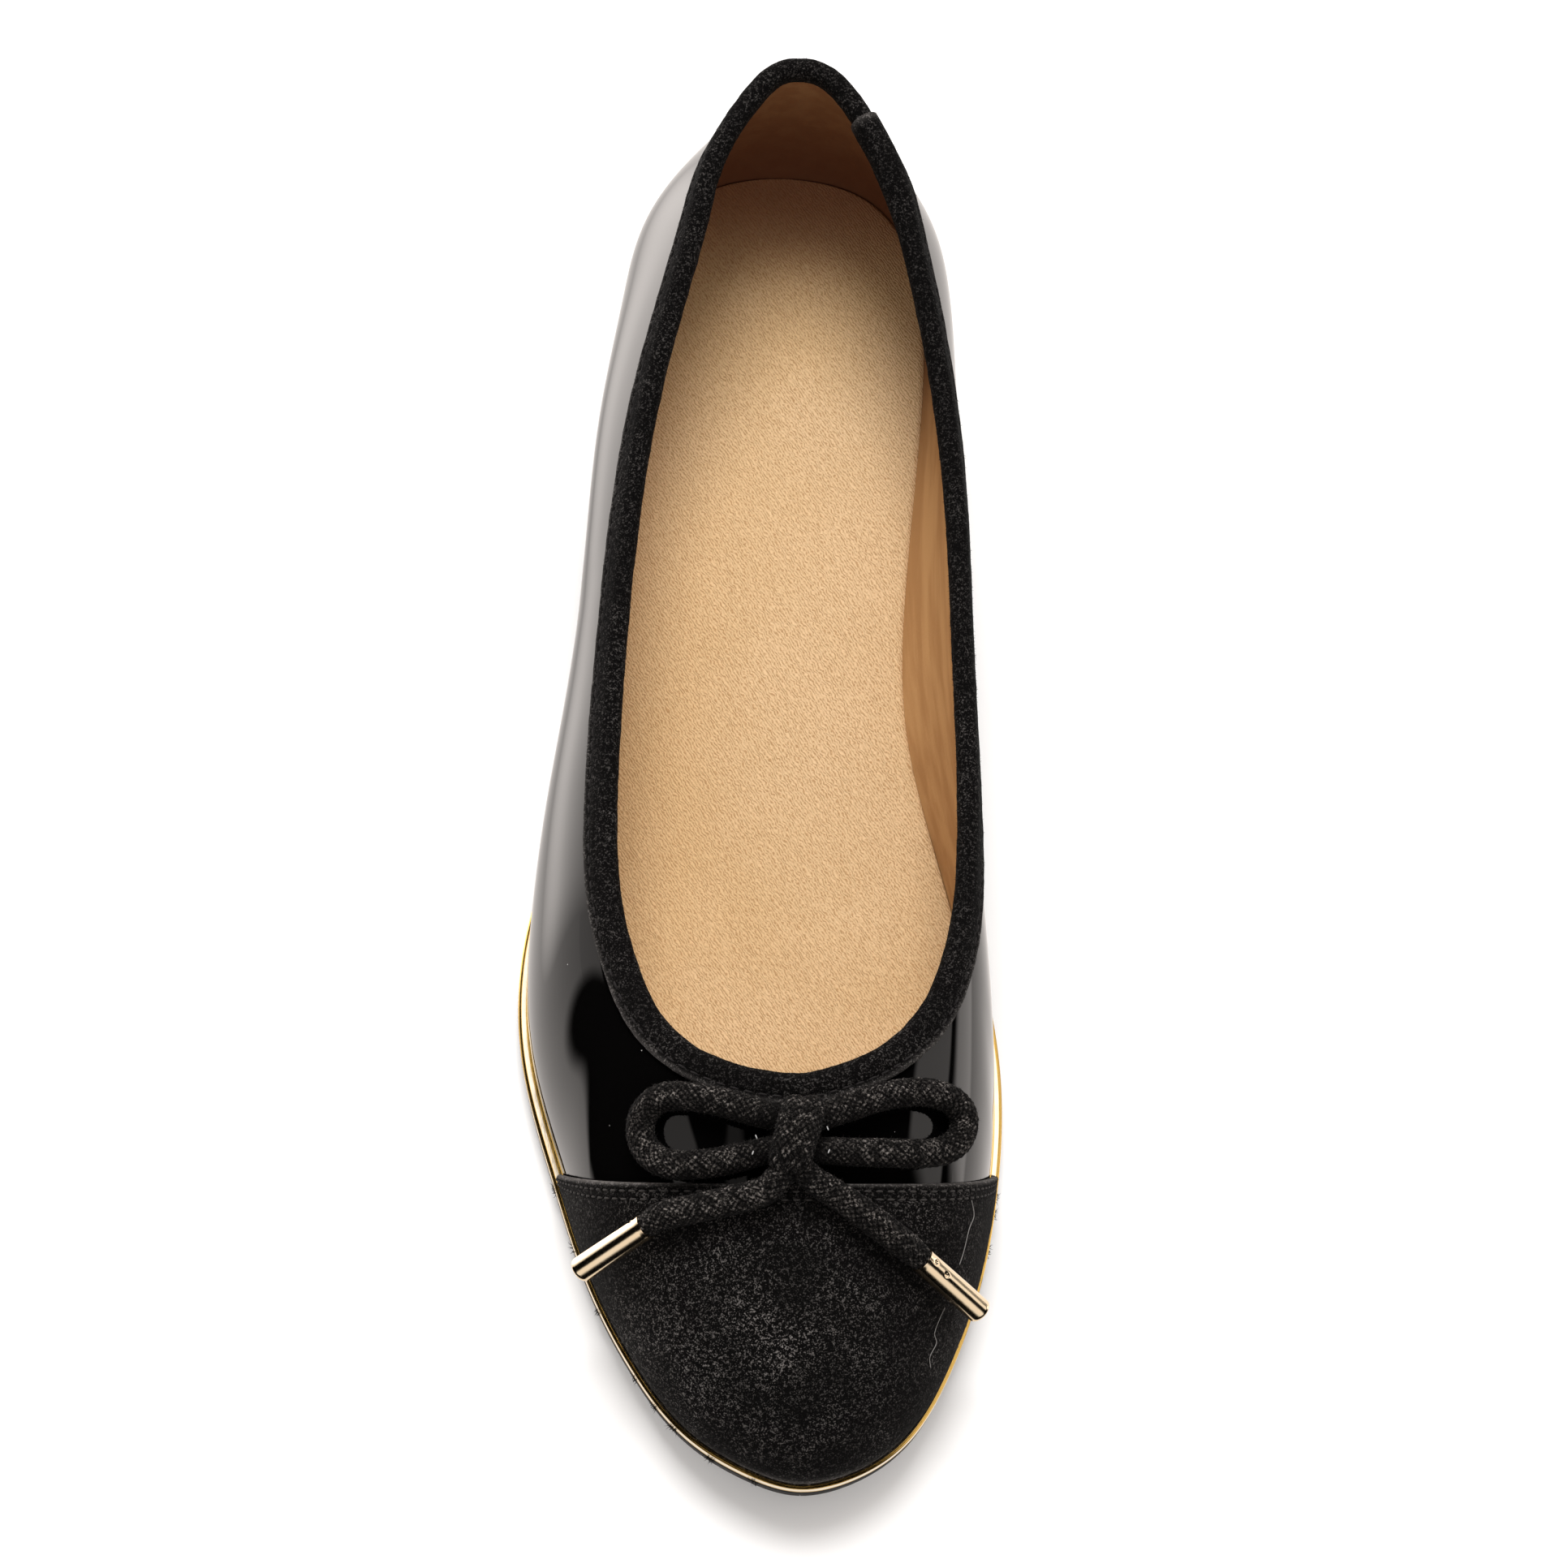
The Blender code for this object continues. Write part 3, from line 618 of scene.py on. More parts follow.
def turns_round(count, crowding=0.35):
    """Turns all the way round, closer together at heel and toe."""
    even = np.arange(count) / count
    return even - crowding * np.sin(4 * math.pi * even) / (4 * math.pi)


def rough(points, scale, seed=0.0):
    """Smooth noise, from about -1 to 1, at each point. scale is in waves a metre."""
    moved = np.asarray(points).reshape(-1, 3) * scale + seed
    values = [noise.noise(Vector(p)) for p in moved.tolist()]
    return np.array(values).reshape(np.asarray(points).shape[:-1])


def grid_faces(rows, columns, rows_closed=False, columns_closed=False):
    """Quads between the points of a grid, numbered row by row."""
    i = np.arange(rows if rows_closed else rows - 1)
    j = np.arange(columns if columns_closed else columns - 1)
    a, b = np.meshgrid(i, j, indexing="ij")
    c, d = (a + 1) % rows, (b + 1) % columns
    corners = (a * columns + b, a * columns + d, c * columns + d, c * columns + b)
    return np.stack(corners, axis=-1).reshape(-1, 4).tolist()


def add_piece(name, points, faces, finish, slot, replaced=(), sharp=40, pale=None):
    """A mesh in the shoe's frame, smooth but for edges sharper than the angle, faces pointing out.
    pale is the value at each point that the finish reads."""
    mesh = bpy.data.meshes.new(name)
    mesh.from_pydata(np.asarray(points).reshape(-1, 3).tolist(), [], faces)
    bm = bmesh.new()
    bm.from_mesh(mesh)
    bmesh.ops.recalc_face_normals(bm, faces=bm.faces)
    bm.to_mesh(mesh)
    bm.free()
    mesh.shade_smooth()
    mesh.set_sharp_from_angle(angle=math.radians(sharp))
    if pale is not None:
        stored = mesh.attributes.new("pale", "FLOAT", "POINT")
        stored.data.foreach_set("value", np.ascontiguousarray(np.ravel(pale), dtype=np.float32))
    mesh.materials.append(finish)
    piece = bpy.data.objects.new(name, mesh)
    bpy.context.scene.collection.objects.link(piece)
    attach(piece, BODY)
    if replaced:
        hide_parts(*replaced)
    return piece


def ring_piece(name, sections, finish, slot, replaced=(), pale=None):
    """A solid swept round the whole shoe from closed sections, one for each turn."""
    faces = grid_faces(*sections.shape[:2], True, True)
    return add_piece(name, sections, faces, finish, slot, replaced, pale=pale)


def tube_faces(rows, columns, start=0):
    """Faces of a tube of closed sections, with both ends closed. Its points are numbered from start."""
    last = start + (rows - 1) * columns
    quads = np.array(grid_faces(rows, columns, False, True)) + start
    return [*quads.tolist(), list(range(start, start + columns))[::-1], list(range(last, last + columns))]


def strip_piece(name, sections, finish, slot, replaced=(), sharp=40, pale=None):
    """A solid swept along closed sections, with both ends closed."""
    return add_piece(name, sections, tube_faces(*sections.shape[:2]), finish, slot, replaced, sharp, pale)


# Soft creases of the patent leather where the shoe flexes, each along a line from one place on the wall
# to another. deep is below the surface, and a negative one stands out as a ridge.
Crease = namedtuple("Crease", "turn share to_turn to_share deep wide")
FLEX_CREASES = [
    Crease(0.655, 0.32, 0.640, 0.88, 0.10 * MM, 3.4 * MM),
    Crease(0.632, 0.45, 0.624, 0.95, -0.07 * MM, 3.2 * MM),
    Crease(0.190, 0.25, 0.215, 0.80, 0.12 * MM, 5.0 * MM),
    Crease(0.805, 0.25, 0.785, 0.80, 0.12 * MM, 5.0 * MM),
]
# Dents in the suede over the toes
CAP_DENTS = [
    Crease(0.470, 0.62, 0.500, 0.80, 0.30 * MM, 5.0 * MM),
    Crease(0.515, 0.52, 0.500, 0.86, 0.22 * MM, 4.0 * MM),
    Crease(0.452, 0.55, 0.462, 0.84, -0.20 * MM, 4.5 * MM),
    Crease(0.530, 0.60, 0.555, 0.74, 0.24 * MM, 4.0 * MM),
]


def creased(points, creases):
    """How far each point is pushed in by soft troughs, or out by ridges, fading at their ends."""
    total = np.zeros(points.shape[:-1])
    for crease in creases:
        turns = np.array([crease.turn, crease.to_turn])
        start, end = wall_points(turns, np.array([crease.share, crease.to_share]))
        line = end - start
        along = np.clip((points - start) @ line / (line @ line), 0.0, 1.0)
        apart = np.linalg.norm(points - start - along[..., None] * line, axis=-1)
        fade = np.sin(math.pi * np.clip(along, 0.03, 0.97)) ** 0.6
        total -= crease.deep * fade * np.exp(-((apart / crease.wide) ** 2))
    return total


PATENT_INNER = 0.0
LINING_OUTER = -0.03 * MM
ROUND_FINE = 560
PATENT_ROWS = 57
LINING_ROWS = 29
HIDDEN_ROWS = 6  # on the side of each layer that faces the other one
PATENT_WAVES = 0.03 * MM


def wall_layer(turns, rows, out):
    """Shares and points of the wall from its top edge to the rand, at a distance out from its middle."""
    shares = np.linspace(0, 1, rows) * foot_shares(turns, out, UPPER_BASE)[:, None]
    return shares, wall_grid(turns, shares, out)


def make_patent_upper():
    """The outer layer of the wall, creased a little where the shoe flexes."""
    turns = turns_round(ROUND_FINE)
    shares, face = wall_layer(turns, PATENT_ROWS, WALL / 2)
    _, hidden = wall_layer(turns, HIDDEN_ROWS, PATENT_INNER)
    normals = wall_normals(np.repeat(turns, PATENT_ROWS), shares.ravel()).reshape(face.shape)
    relief = creased(face, FLEX_CREASES) + rough(face, 38) * PATENT_WAVES
    sections = np.concatenate([face + relief[..., None] * normals, hidden[:, ::-1]], axis=1)
    ring_piece("patent_upper", sections, patent_leather(), "patent_leather", ("upper",))


def make_lining():
    """The inner layer of the wall, its face towards the foot."""
    turns = turns_round(ROUND_FINE)
    _, face = wall_layer(turns, LINING_ROWS, -WALL / 2)
    _, hidden = wall_layer(turns, HIDDEN_ROWS, LINING_OUTER)
    sections = np.concatenate([face, hidden[:, ::-1]], axis=1)
    ring_piece("lining", sections, lining_leather(), "lining_leather", ("upper",))


BINDING_STEPS = 760
BINDING_STITCH_UP = 1.3 * MM  # from the binding's raw lower edge to its stitches
BINDING_STITCH_SINK = 0.28 * MM
BINDING_JOINT = 0.939  # turn at which the binding's lower end lies
BINDING_LAP = 7.0 * MM  # how far the upper end lies over the lower one
BINDING_RAW = 0.55 * MM  # width of the pale raw edge


def binding_sections(turns, lift):
    """Closed outlines of the suede folded over the collar's edge, raised off the wall by lift."""
    lining_side = ROLL - BINDING_LEATHER
    leg = BINDING_OUTSIDE - ROLL
    depths = np.linspace(leg, 0, 15)[:-1]
    short = np.linspace(0, BINDING_INSIDE - ROLL, 6)[1:]
    outer_shares = depth_shares(turns, depths)
    inner_shares = depth_shares(turns, short)
    stitched = np.exp(-(((leg - depths) - BINDING_STITCH_UP) / (0.45 * MM)) ** 2) * BINDING_STITCH_SINK
    edge = np.clip((leg - depths) / (0.5 * MM), 0, 1)
    thinner = (1 - np.sqrt(1 - (1 - edge) ** 2)) * BINDING_LEATHER * 0.6
    outer = wall_grid(turns, outer_shares, (ROLL - stitched - thinner)[None, :] + lift[:, None])
    zero = np.zeros(len(turns))
    middle = wall_points(turns, zero)
    normal = wall_normals(turns, zero)
    up = middle - wall_points(turns, zero + 0.01)
    up -= normal * np.sum(up * normal, axis=1)[:, None]
    up /= np.linalg.norm(up, axis=1)[:, None]

    def arc(radius, angles):
        a = angles[None, :, None]
        size = radius[:, None, None]
        return middle[:, None] + size * (np.cos(a) * normal[:, None] + np.sin(a) * up[:, None])

    rolled = arc(ROLL + lift, np.radians(np.linspace(0, 180, 17)))
    inner = wall_grid(turns, inner_shares, -ROLL - lift[:, None])
    back_inner = wall_grid(turns, inner_shares[:, ::-2], -lining_side - lift[:, None])
    back_rolled = arc(lining_side + lift, np.radians(np.linspace(180, 0, 7)))
    back_outer = wall_grid(turns, outer_shares[:, ::-2], lining_side + lift[:, None])
    face = np.concatenate([outer, rolled, inner], axis=1)
    centre = middle[:, None]
    away = face - centre
    away /= np.linalg.norm(away, axis=2)[..., None]
    lumps = rough(face, 420) * 0.10 * MM + rough(face, 1400, 7.0) * 0.05 * MM
    face = face + away * lumps[..., None]
    sections = np.concatenate([face, back_inner, back_rolled, back_outer], axis=1)
    raw = np.zeros(sections.shape[1])
    raw[: len(depths)] = np.exp(-(((leg - depths) / BINDING_RAW) ** 2))
    return sections, raw


def make_binding(suede):
    """One strip of suede right round the collar, its upper end lapped over its lower end."""
    edge = wall_points(np.linspace(0, 1, 400), np.zeros(400))
    round_length = np.linalg.norm(np.diff(edge, axis=0), axis=1).sum()
    lap = BINDING_LAP / round_length
    turns = BINDING_JOINT + np.linspace(0, 1 + lap, BINDING_STEPS)
    climbed = np.clip((turns - BINDING_JOINT - 1 + 2.2 * lap) / (2.1 * lap), 0, 1)
    climbed = climbed * climbed * (3 - 2 * climbed)
    sections, raw = binding_sections(turns, BINDING_LEATHER * 0.75 * climbed)
    from_end = (turns[-1] - turns) * round_length
    pale = np.maximum(raw[None, :], np.exp(-((from_end / BINDING_RAW) ** 2))[:, None])
    return strip_piece("collar_binding", sections, suede, "suede", ("topline_binding",), 60, pale)


CAP_COLUMNS = 460
CAP_ROWS = 84
CAP_EDGE_ROUND = 0.7 * MM
CAP_STITCH_ROWS = (1.4 * MM, 2.8 * MM)
CAP_STITCH_SINK = 0.22 * MM
CAP_RAW = 0.40 * MM
CAP_THINNER = 0.5 * MM  # where the suede is drawn in under the rand
CAP_DRAWN = 2.0 * MM


def cap_turns(count):
    fine = np.linspace(0.25, 0.75, 1441)
    covered = fine[cap_shares(fine) < 0.985]
    return np.linspace(covered[0], covered[-1], count)


def make_toe_cap(suede):
    """Suede over the toes: a rounded cut edge, two sunk rows of stitches, and soft dents."""
    turns = cap_turns(CAP_COLUMNS)
    first = cap_shares(turns)[:, None]
    low, high = WALL / 2 + GAP, WALL / 2 + GAP + CAP_LEATHER
    crowded = np.linspace(0, 1, CAP_ROWS) ** 1.35
    shares = first + crowded * (foot_shares(turns, high, UPPER_BASE)[:, None] - first)
    middle = wall_grid(turns, shares, 0.0)
    steps = np.linalg.norm(np.diff(middle, axis=1), axis=2)
    from_edge = np.concatenate([np.zeros((len(turns), 1)), np.cumsum(steps, axis=1)], axis=1)
    rounded = np.clip(1 - from_edge / CAP_EDGE_ROUND, 0, 1)
    out = low + CAP_LEATHER * np.sqrt(1 - rounded**2 * 0.98)
    for row in CAP_STITCH_ROWS:
        out = out - CAP_STITCH_SINK * np.exp(-(((from_edge - row) / (0.42 * MM)) ** 2))
    out = out + creased(middle, CAP_DENTS)
    out = out + rough(middle, 70) * 0.10 * MM + rough(middle, 300, 3.0) * 0.05 * MM
    to_rand = from_edge[:, -1:] - from_edge
    out = out + rough(middle, 1300, 5.0) * 0.035 * MM - CAP_THINNER * np.exp(-((to_rand / CAP_DRAWN) ** 2))
    outside = wall_grid(turns, shares, out)
    back_shares = first + np.linspace(1, 0, 8) * (foot_shares(turns, low, UPPER_BASE)[:, None] - first)
    sections = np.concatenate([outside, wall_grid(turns, back_shares, low)], axis=1)
    at_toe = np.exp(-(((turns - 0.5) / 0.03) ** 2))[:, None]
    pale = np.zeros(sections.shape[:2])
    pale[:, :CAP_ROWS] = np.exp(-((from_edge / CAP_RAW) ** 2))
    pale[:, :CAP_ROWS] += 0.7 * at_toe * np.exp(-((to_rand / (1.2 * MM)) ** 2))
    return strip_piece("suede_toe_cap", sections, suede, "suede", ("toe_cap",), pale=pale)


# Stitches in millimetres: from one to the next, length, thickness and height over the surface, and the
# place of the first one's middle as a share of the pitch
Stitch = namedtuple("Stitch", "pitch long thick high first")
BINDING_STITCH = Stitch(2.4, 1.7, 0.40, 0.10, 0.5)
CAP_STITCH = Stitch(2.0, 1.35, 0.40, 0.10, 0.5)
NEEDLE_HOLE_SHADE = Stitch(2.0, 0.55, 0.50, 0.06, 0.0)
TACK = Stitch(1.0, 0.8, 0.22, 0.0, 0.5)


def stitch_mesh(lines, stitch):
    """Separate closed stitches along each line. A line is its points and the surface's normals there."""
    pitch, long, thick, high = (size * MM for size in stitch[:4])
    around, beads = 7, np.array([-1.0, -0.86, -0.45, 0.45, 0.86, 1.0])
    fat = np.array([0.25, 0.75, 1.0, 1.0, 0.75, 0.25])
    angles = np.linspace(0, 2 * math.pi, around, endpoint=False)
    points, faces = [], []
    for line, normals in lines:
        run = np.concatenate([[0], np.cumsum(np.linalg.norm(np.diff(line, axis=0), axis=1))])
        count = max(int(run[-1] / pitch), 1)
        centres = (np.arange(count) + stitch.first) * run[-1] / count
        for at in centres:
            place, ahead, back, normal = (
                np.array([np.interp(at + shift, run, values[:, k]) for k in range(3)])
                for values, shift in ((line, 0.0), (line, pitch / 4), (line, -pitch / 4), (normals, 0.0))
            )
            along = (ahead - back) / np.linalg.norm(ahead - back)
            normal = normal / np.linalg.norm(normal)
            side = np.cross(normal, along)
            sag = 0.6 * thick * beads**2
            rings = [
                place + along * b * long / 2 + normal * (high - s)
                + f * thick / 2 * (np.cos(angles)[:, None] * side + np.sin(angles)[:, None] * normal)
                for b, f, s in zip(beads, fat, sag)
            ]
            faces += tube_faces(len(beads), around, len(points) * len(beads) * around)
            points.append(np.concatenate(rings))
    return np.concatenate(points), faces


def make_binding_stitches(finish):
    turns = np.linspace(0, 1, 1200) + BINDING_JOINT
    leg = BINDING_OUTSIDE - ROLL
    shares = depth_shares(turns, [leg - BINDING_STITCH_UP])[:, 0]
    line = offset_wall(turns, shares, ROLL - BINDING_STITCH_SINK)
    points, faces = stitch_mesh([(line, wall_normals(turns, shares))], BINDING_STITCH)
    add_piece("binding_stitches", points, faces, finish, "suede")


def make_cap_stitches(finish):
    turns = cap_turns(700)
    first = cap_shares(turns)
    small = 0.01
    step = wall_points(turns, first + small) - wall_points(turns, first)
    per_share = np.linalg.norm(step, axis=1) / small
    lines = []
    for row in CAP_STITCH_ROWS:
        shares = first + row / per_share
        kept = shares < 0.97
        line = offset_wall(turns[kept], shares[kept], WALL / 2 + GAP + CAP_LEATHER - CAP_STITCH_SINK)
        lines.append((line, wall_normals(turns[kept], shares[kept])))
    add_piece("cap_stitches", *stitch_mesh(lines, CAP_STITCH), finish, "suede")
    # Painted shade: near-black blobs between the stitches stand for the shade inside the needle holes.
    shade = thread("hole_shade", (0.0015, 0.0014, 0.0014))
    add_piece("cap_needle_hole_shade", *stitch_mesh(lines, NEEDLE_HOLE_SHADE), shade, "suede")


# The rand's ledge from its outer edge inwards: inset, and how much deeper gold is painted there as a
# reflection
LEDGE = [(0.62, 1.0), (0.72, 0.0), (1.32, 0.0), (1.44, 1.0), (1.9, 1.0)]


def make_rand():
    """The metallic strip: a pale band between fine deeper-gold edges painted as reflections, raised at its
    side.
    """
    turns = turns_round(ROUND_FINE)
    rim, rim_high = 0.35 * MM, 0.10 * MM
    over = np.linspace(0, RAND_THICK, 17)
    edge = np.clip(np.minimum(over, RAND_THICK - over) / rim, 0, 1)
    bead = rim_high * np.exp(-((np.minimum(over, RAND_THICK - over) - 0.30 * MM) / (0.16 * MM)) ** 2)
    bow = 0.12 * MM * (1 - (2 * over / RAND_THICK - 1) ** 2)
    inset = 0.35 * MM * (1 - np.sqrt(1 - (1 - edge) ** 2)) + 0.12 * MM - bow - bead + rim_high
    outline = list(zip(inset, RAND_BASE + over)) + [(at * MM, RAND_TOP) for at, _ in LEDGE]
    outline += [(RAND_WIDE, RAND_TOP), (RAND_WIDE, RAND_BASE)]
    rings = [raised(inset_line(turns, i), o) for i, o in outline]
    sections = np.stack(rings, axis=1)
    # Painted reflection: the raised bead and the top rim get the deeper gold.
    side = np.clip(np.maximum(bead / rim_high * 1.4, (over > RAND_THICK - rim) * 1.0), 0, 1)
    reflected_gold = np.array([*side, *(share for _, share in LEDGE), 1.0, 1.0])
    pale = np.broadcast_to(reflected_gold, sections.shape[:2])
    ring_piece("metallic_rand", sections, metallic_strip(), "metallic_strip", ("rand",), pale)


RIB_PITCH = 3.6 * MM
RIB_DEEP = 0.45 * MM
RIB_BOW = 6.0 * MM
RIB_WIDE = 20.0 * MM
RIB_END = 0.8 * MM  # over which the grooves run out


def tread(x, y, along_ribs):
    """Depth of the sole's grooves at a place on its underside."""
    wave = np.sin(2 * math.pi * (y + RIB_BOW * np.cos(x / RIB_WIDE)) / RIB_PITCH)
    return RIB_DEEP * np.clip(wave * 2.2, 0, 1) * along_ribs


def rung_sections(turns, outline, under_steps, relief):
    """Closed sections across the shoe, from its lateral edge to its medial one. outline is the edge's
    profile from the bottom up, as (inset, height over the underside); relief gives the grooves."""
    lateral = [raised(inset_line(turns, inset), over) for inset, over in outline]
    medial = [raised(inset_line(1 - turns, inset), over) for inset, over in outline]
    left, right = lateral[0], medial[0]
    share = np.linspace(1, 0, under_steps + 2)[1:-1][None, :, None]
    under = left[:, None] * (1 - share) + right[:, None] * share
    width = np.linalg.norm(right - left, axis=1)[:, None]
    margin = np.minimum(share[..., 0], 1 - share[..., 0]) * width
    under[:, :, 2] = rise(under[:, :, 1]) + outline[0][1] + relief(under[:, :, 0], under[:, :, 1], margin)
    return np.concatenate([np.stack(lateral, axis=1), np.stack(medial[::-1], axis=1), under], axis=1)


def half_turns(count, last=0.4998):
    even = np.linspace(0.0002, last, count)
    return even - 0.35 * np.sin(4 * math.pi * even) / (4 * math.pi)


OUTSOLE_IN = 0.20 * MM  # from the rand's edge to the outsole's


def make_outsole(rubber):
    """Thin rubber sole: a rounded edge with one fine line, and curved ribs under the tread."""
    top = OUTSOLE_THICK / MM
    outline = [(1.3, 0.0), (0.85, 0.12), (0.50, 0.50), (0.28, 1.0), (0.16, 1.5), (0.30, 1.65), (0.10, 1.8)]
    outline += [(0.02, top - 0.8), (0.05, top - 0.35), (0.18, top - 0.1), (0.4, top)]
    outline = [(inset * MM + OUTSOLE_IN, over * MM) for inset, over in outline]

    def relief(x, y, margin):
        share = (HEEL_CENTRE - y) / LENGTH
        front = np.clip((share - 0.54) / 0.02, 0, 1) * np.clip((0.955 - share) / 0.02, 0, 1)
        return tread(x, y, front * np.clip((margin - 5.5 * MM) / RIB_END, 0, 1))

    turns = half_turns(420)
    sections = rung_sections(turns, outline, 64, relief)
    strip_piece("rubber_outsole", sections, rubber, "sole_rubber", ("outsole",))


def make_heel(rubber):
    """Low heel block with the line of its top piece, ribbed underneath."""
    fine = np.linspace(0, 0.5, 721)
    breast = HEEL_CENTRE - HEEL_BREAST * LENGTH
    corner = fine[SOLE_LINE(fine)[:, 1] >= breast][-1]
    turns = np.linspace(0.0002, corner, 220)
    top = HEEL_LIFT - GAP
    bottom_inset = HEEL_INSET + HEEL_TAPER
    outline = [
        (bottom_inset + 0.5 * MM, 0.0),
        (bottom_inset + 0.12 * MM, 0.15 * MM),
        (bottom_inset, 0.6 * MM),
        (bottom_inset - 0.25 * MM, 2.4 * MM),
        (bottom_inset, 2.55 * MM),
        (bottom_inset - 0.30 * MM, 2.75 * MM),
        (HEEL_INSET, top),
    ]

    def ring(side_turns, inset, height):
        plan = inset_line(side_turns, inset)
        plan[:, 1] = np.maximum(plan[:, 1], breast + (inset - HEEL_INSET))
        return np.column_stack([plan, np.full(len(plan), height)])

    lateral = [ring(turns, i, h) for i, h in outline]
    medial = [ring(1 - turns, i, h) for i, h in outline]
    share = np.linspace(1, 0, 42)[1:-1][None, :, None]
    under = lateral[0][:, None] * (1 - share) + medial[0][:, None] * share
    width = np.linalg.norm(medial[0] - lateral[0], axis=1)[:, None]
    margin = np.minimum(share[..., 0], 1 - share[..., 0]) * width
    back = np.minimum(HEEL_CENTRE - under[:, :, 1], under[:, :, 1] - breast)
    ribs = np.clip((np.minimum(margin, back) - 5 * MM) / RIB_END, 0, 1)
    under[:, :, 2] = tread(under[:, :, 0], under[:, :, 1], ribs)
    sections = np.concatenate([np.stack(lateral, axis=1), np.stack(medial[::-1], axis=1), under], axis=1)
    strip_piece("heel_block", sections, rubber, "sole_rubber", ("heel",))


SOCK_EDGE = 1.1 * MM  # how far in the insole's edge is rolled down
SOCK_DROP = 0.5 * MM
# Hollows that the foot pressed in the sock, in millimetres: y of the middle, half length and depth
SOCK_HOLLOWS = [(-6, 26, 0.30), (-128, 34, 0.25)]


def make_insole():
    """Leather sock over its board, rolled down along its edge, a little hollow under heel and ball."""
    turns = half_turns(420)

    def beside_wall(over, inset, side):
        shares = foot_shares(side, -WALL / 2, over)
        wall = offset_wall(side, shares, -WALL / 2)[:, :2]
        return raised(wall - inset * outward(SOLE_LINE, side), over)

    ends = [beside_wall(INSOLE_TOP, GAP, side) for side in (turns, 1 - turns)]
    width = np.linalg.norm(ends[1] - ends[0], axis=1)[:, None]
    rim = np.linspace(0, 0.06, 9)[:-1]
    share = np.concatenate([rim, np.linspace(0.06, 0.94, 42), 1 - rim[::-1]])
    across = share[None, :, None]
    top = ends[0][:, None] * (1 - across) + ends[1][:, None] * across
    margin = np.minimum(share, 1 - share)[None, :] * width
    end_margin = np.minimum(np.arange(len(turns)), np.arange(len(turns))[::-1])[:, None] * 0.35 * MM
    rolled = np.clip(1 - np.minimum(margin, end_margin + margin * 0.5) / SOCK_EDGE, 0, 1)
    hollow = np.zeros(margin.shape)
    for centre, long, deep in np.array(SOCK_HOLLOWS) * MM:
        hollow += deep * np.exp(-(((top[:, :, 1] - centre) / long) ** 2)) * np.clip(margin / (14 * MM), 0, 1)
    top[:, :, 2] -= SOCK_DROP * (1 - np.sqrt(1 - rolled**2 * 0.98)) + hollow
    board = [beside_wall(UPPER_BASE, GAP, side) for side in (1 - turns, turns)]
    sections = np.concatenate([top, np.stack(board, axis=1)], axis=1)
    strip_piece("insole_sock", sections, insole_leather(), "insole_leather", ("insole",))


def smooth_route(points, steps):
    """Points spaced evenly along a smooth curve through the route's own points, in metres."""
    given = np.array(points, float) * MM
    ahead = np.vstack([2 * given[0] - given[1], given, 2 * given[-1] - given[-2]])
    t = np.linspace(0, 1, 12, endpoint=False)[:, None]
    fine = []
    for before, start, end, after in zip(ahead, ahead[1:], ahead[2:], ahead[3:]):
        square = 2 * before - 5 * start + 4 * end - after
        cube = 3 * start - before - 3 * end + after
        fine.append(0.5 * (2 * start + (end - before) * t + square * t**2 + cube * t**3))
    fine = np.concatenate([*fine, given[-1:]])
    run = np.concatenate([[0], np.cumsum(np.linalg.norm(np.diff(fine, axis=0), axis=1))])
    at = np.linspace(0, run[-1], steps)
    return np.stack([np.interp(at, run, fine[:, k]) for k in range(3)], axis=1)


BRAID_STRANDS = 12  # of each of the braid's two ways round
BRAID_PITCH = 1.20 * MM
BRAID_HIGH = 0.42 * MM
CORD_AROUND = 84
CORD_STEP = 0.20 * MM
TIP_REACH = 2.5 * MM  # how far the cord runs on inside its tip
CORD_SOFT = CORD / 2 + 0.10 * MM  # radius over the crests of the loose braid


def transported(path):
    """Two axes across the path at each point, turned as little as possible from one to the next."""
    along = np.gradient(path, axis=0)
    along /= np.linalg.norm(along, axis=1)[:, None]
    side = np.cross(along[0], (0.0, 0.0, 1.0))
    if np.linalg.norm(side) < 0.1:
        side = np.cross(along[0], (1.0, 0.0, 0.0))
    sides = []
    for way in along:
        side = side - way * (side @ way)
        side = side / np.linalg.norm(side)
        sides.append(side)
    sides = np.array(sides)
    return sides, np.cross(along, sides)


def circles(angles, first, second):
    """Unit circles of points across a path, from two axes at each of its points."""
    return np.cos(angles)[None, :, None] * first[:, None] + np.sin(angles)[None, :, None] * second[:, None]


def braid_relief(run, angles):
    """Height of a two-way braid, 0 to 1: each strand passes over one and under the next."""
    first = angles[None, :] / (2 * math.pi) * BRAID_STRANDS + run[:, None] / BRAID_PITCH
    second = -angles[None, :] / (2 * math.pi) * BRAID_STRANDS + run[:, None] / BRAID_PITCH
    over = (np.floor(first) + np.floor(second)) % 2 < 0.5
    across = np.where(over, first % 1, second % 1)
    hump = np.where(over, second % 1, first % 1)
    return np.sin(math.pi * across) ** 0.6 * (0.55 + 0.45 * np.sin(math.pi * hump) ** 0.7)


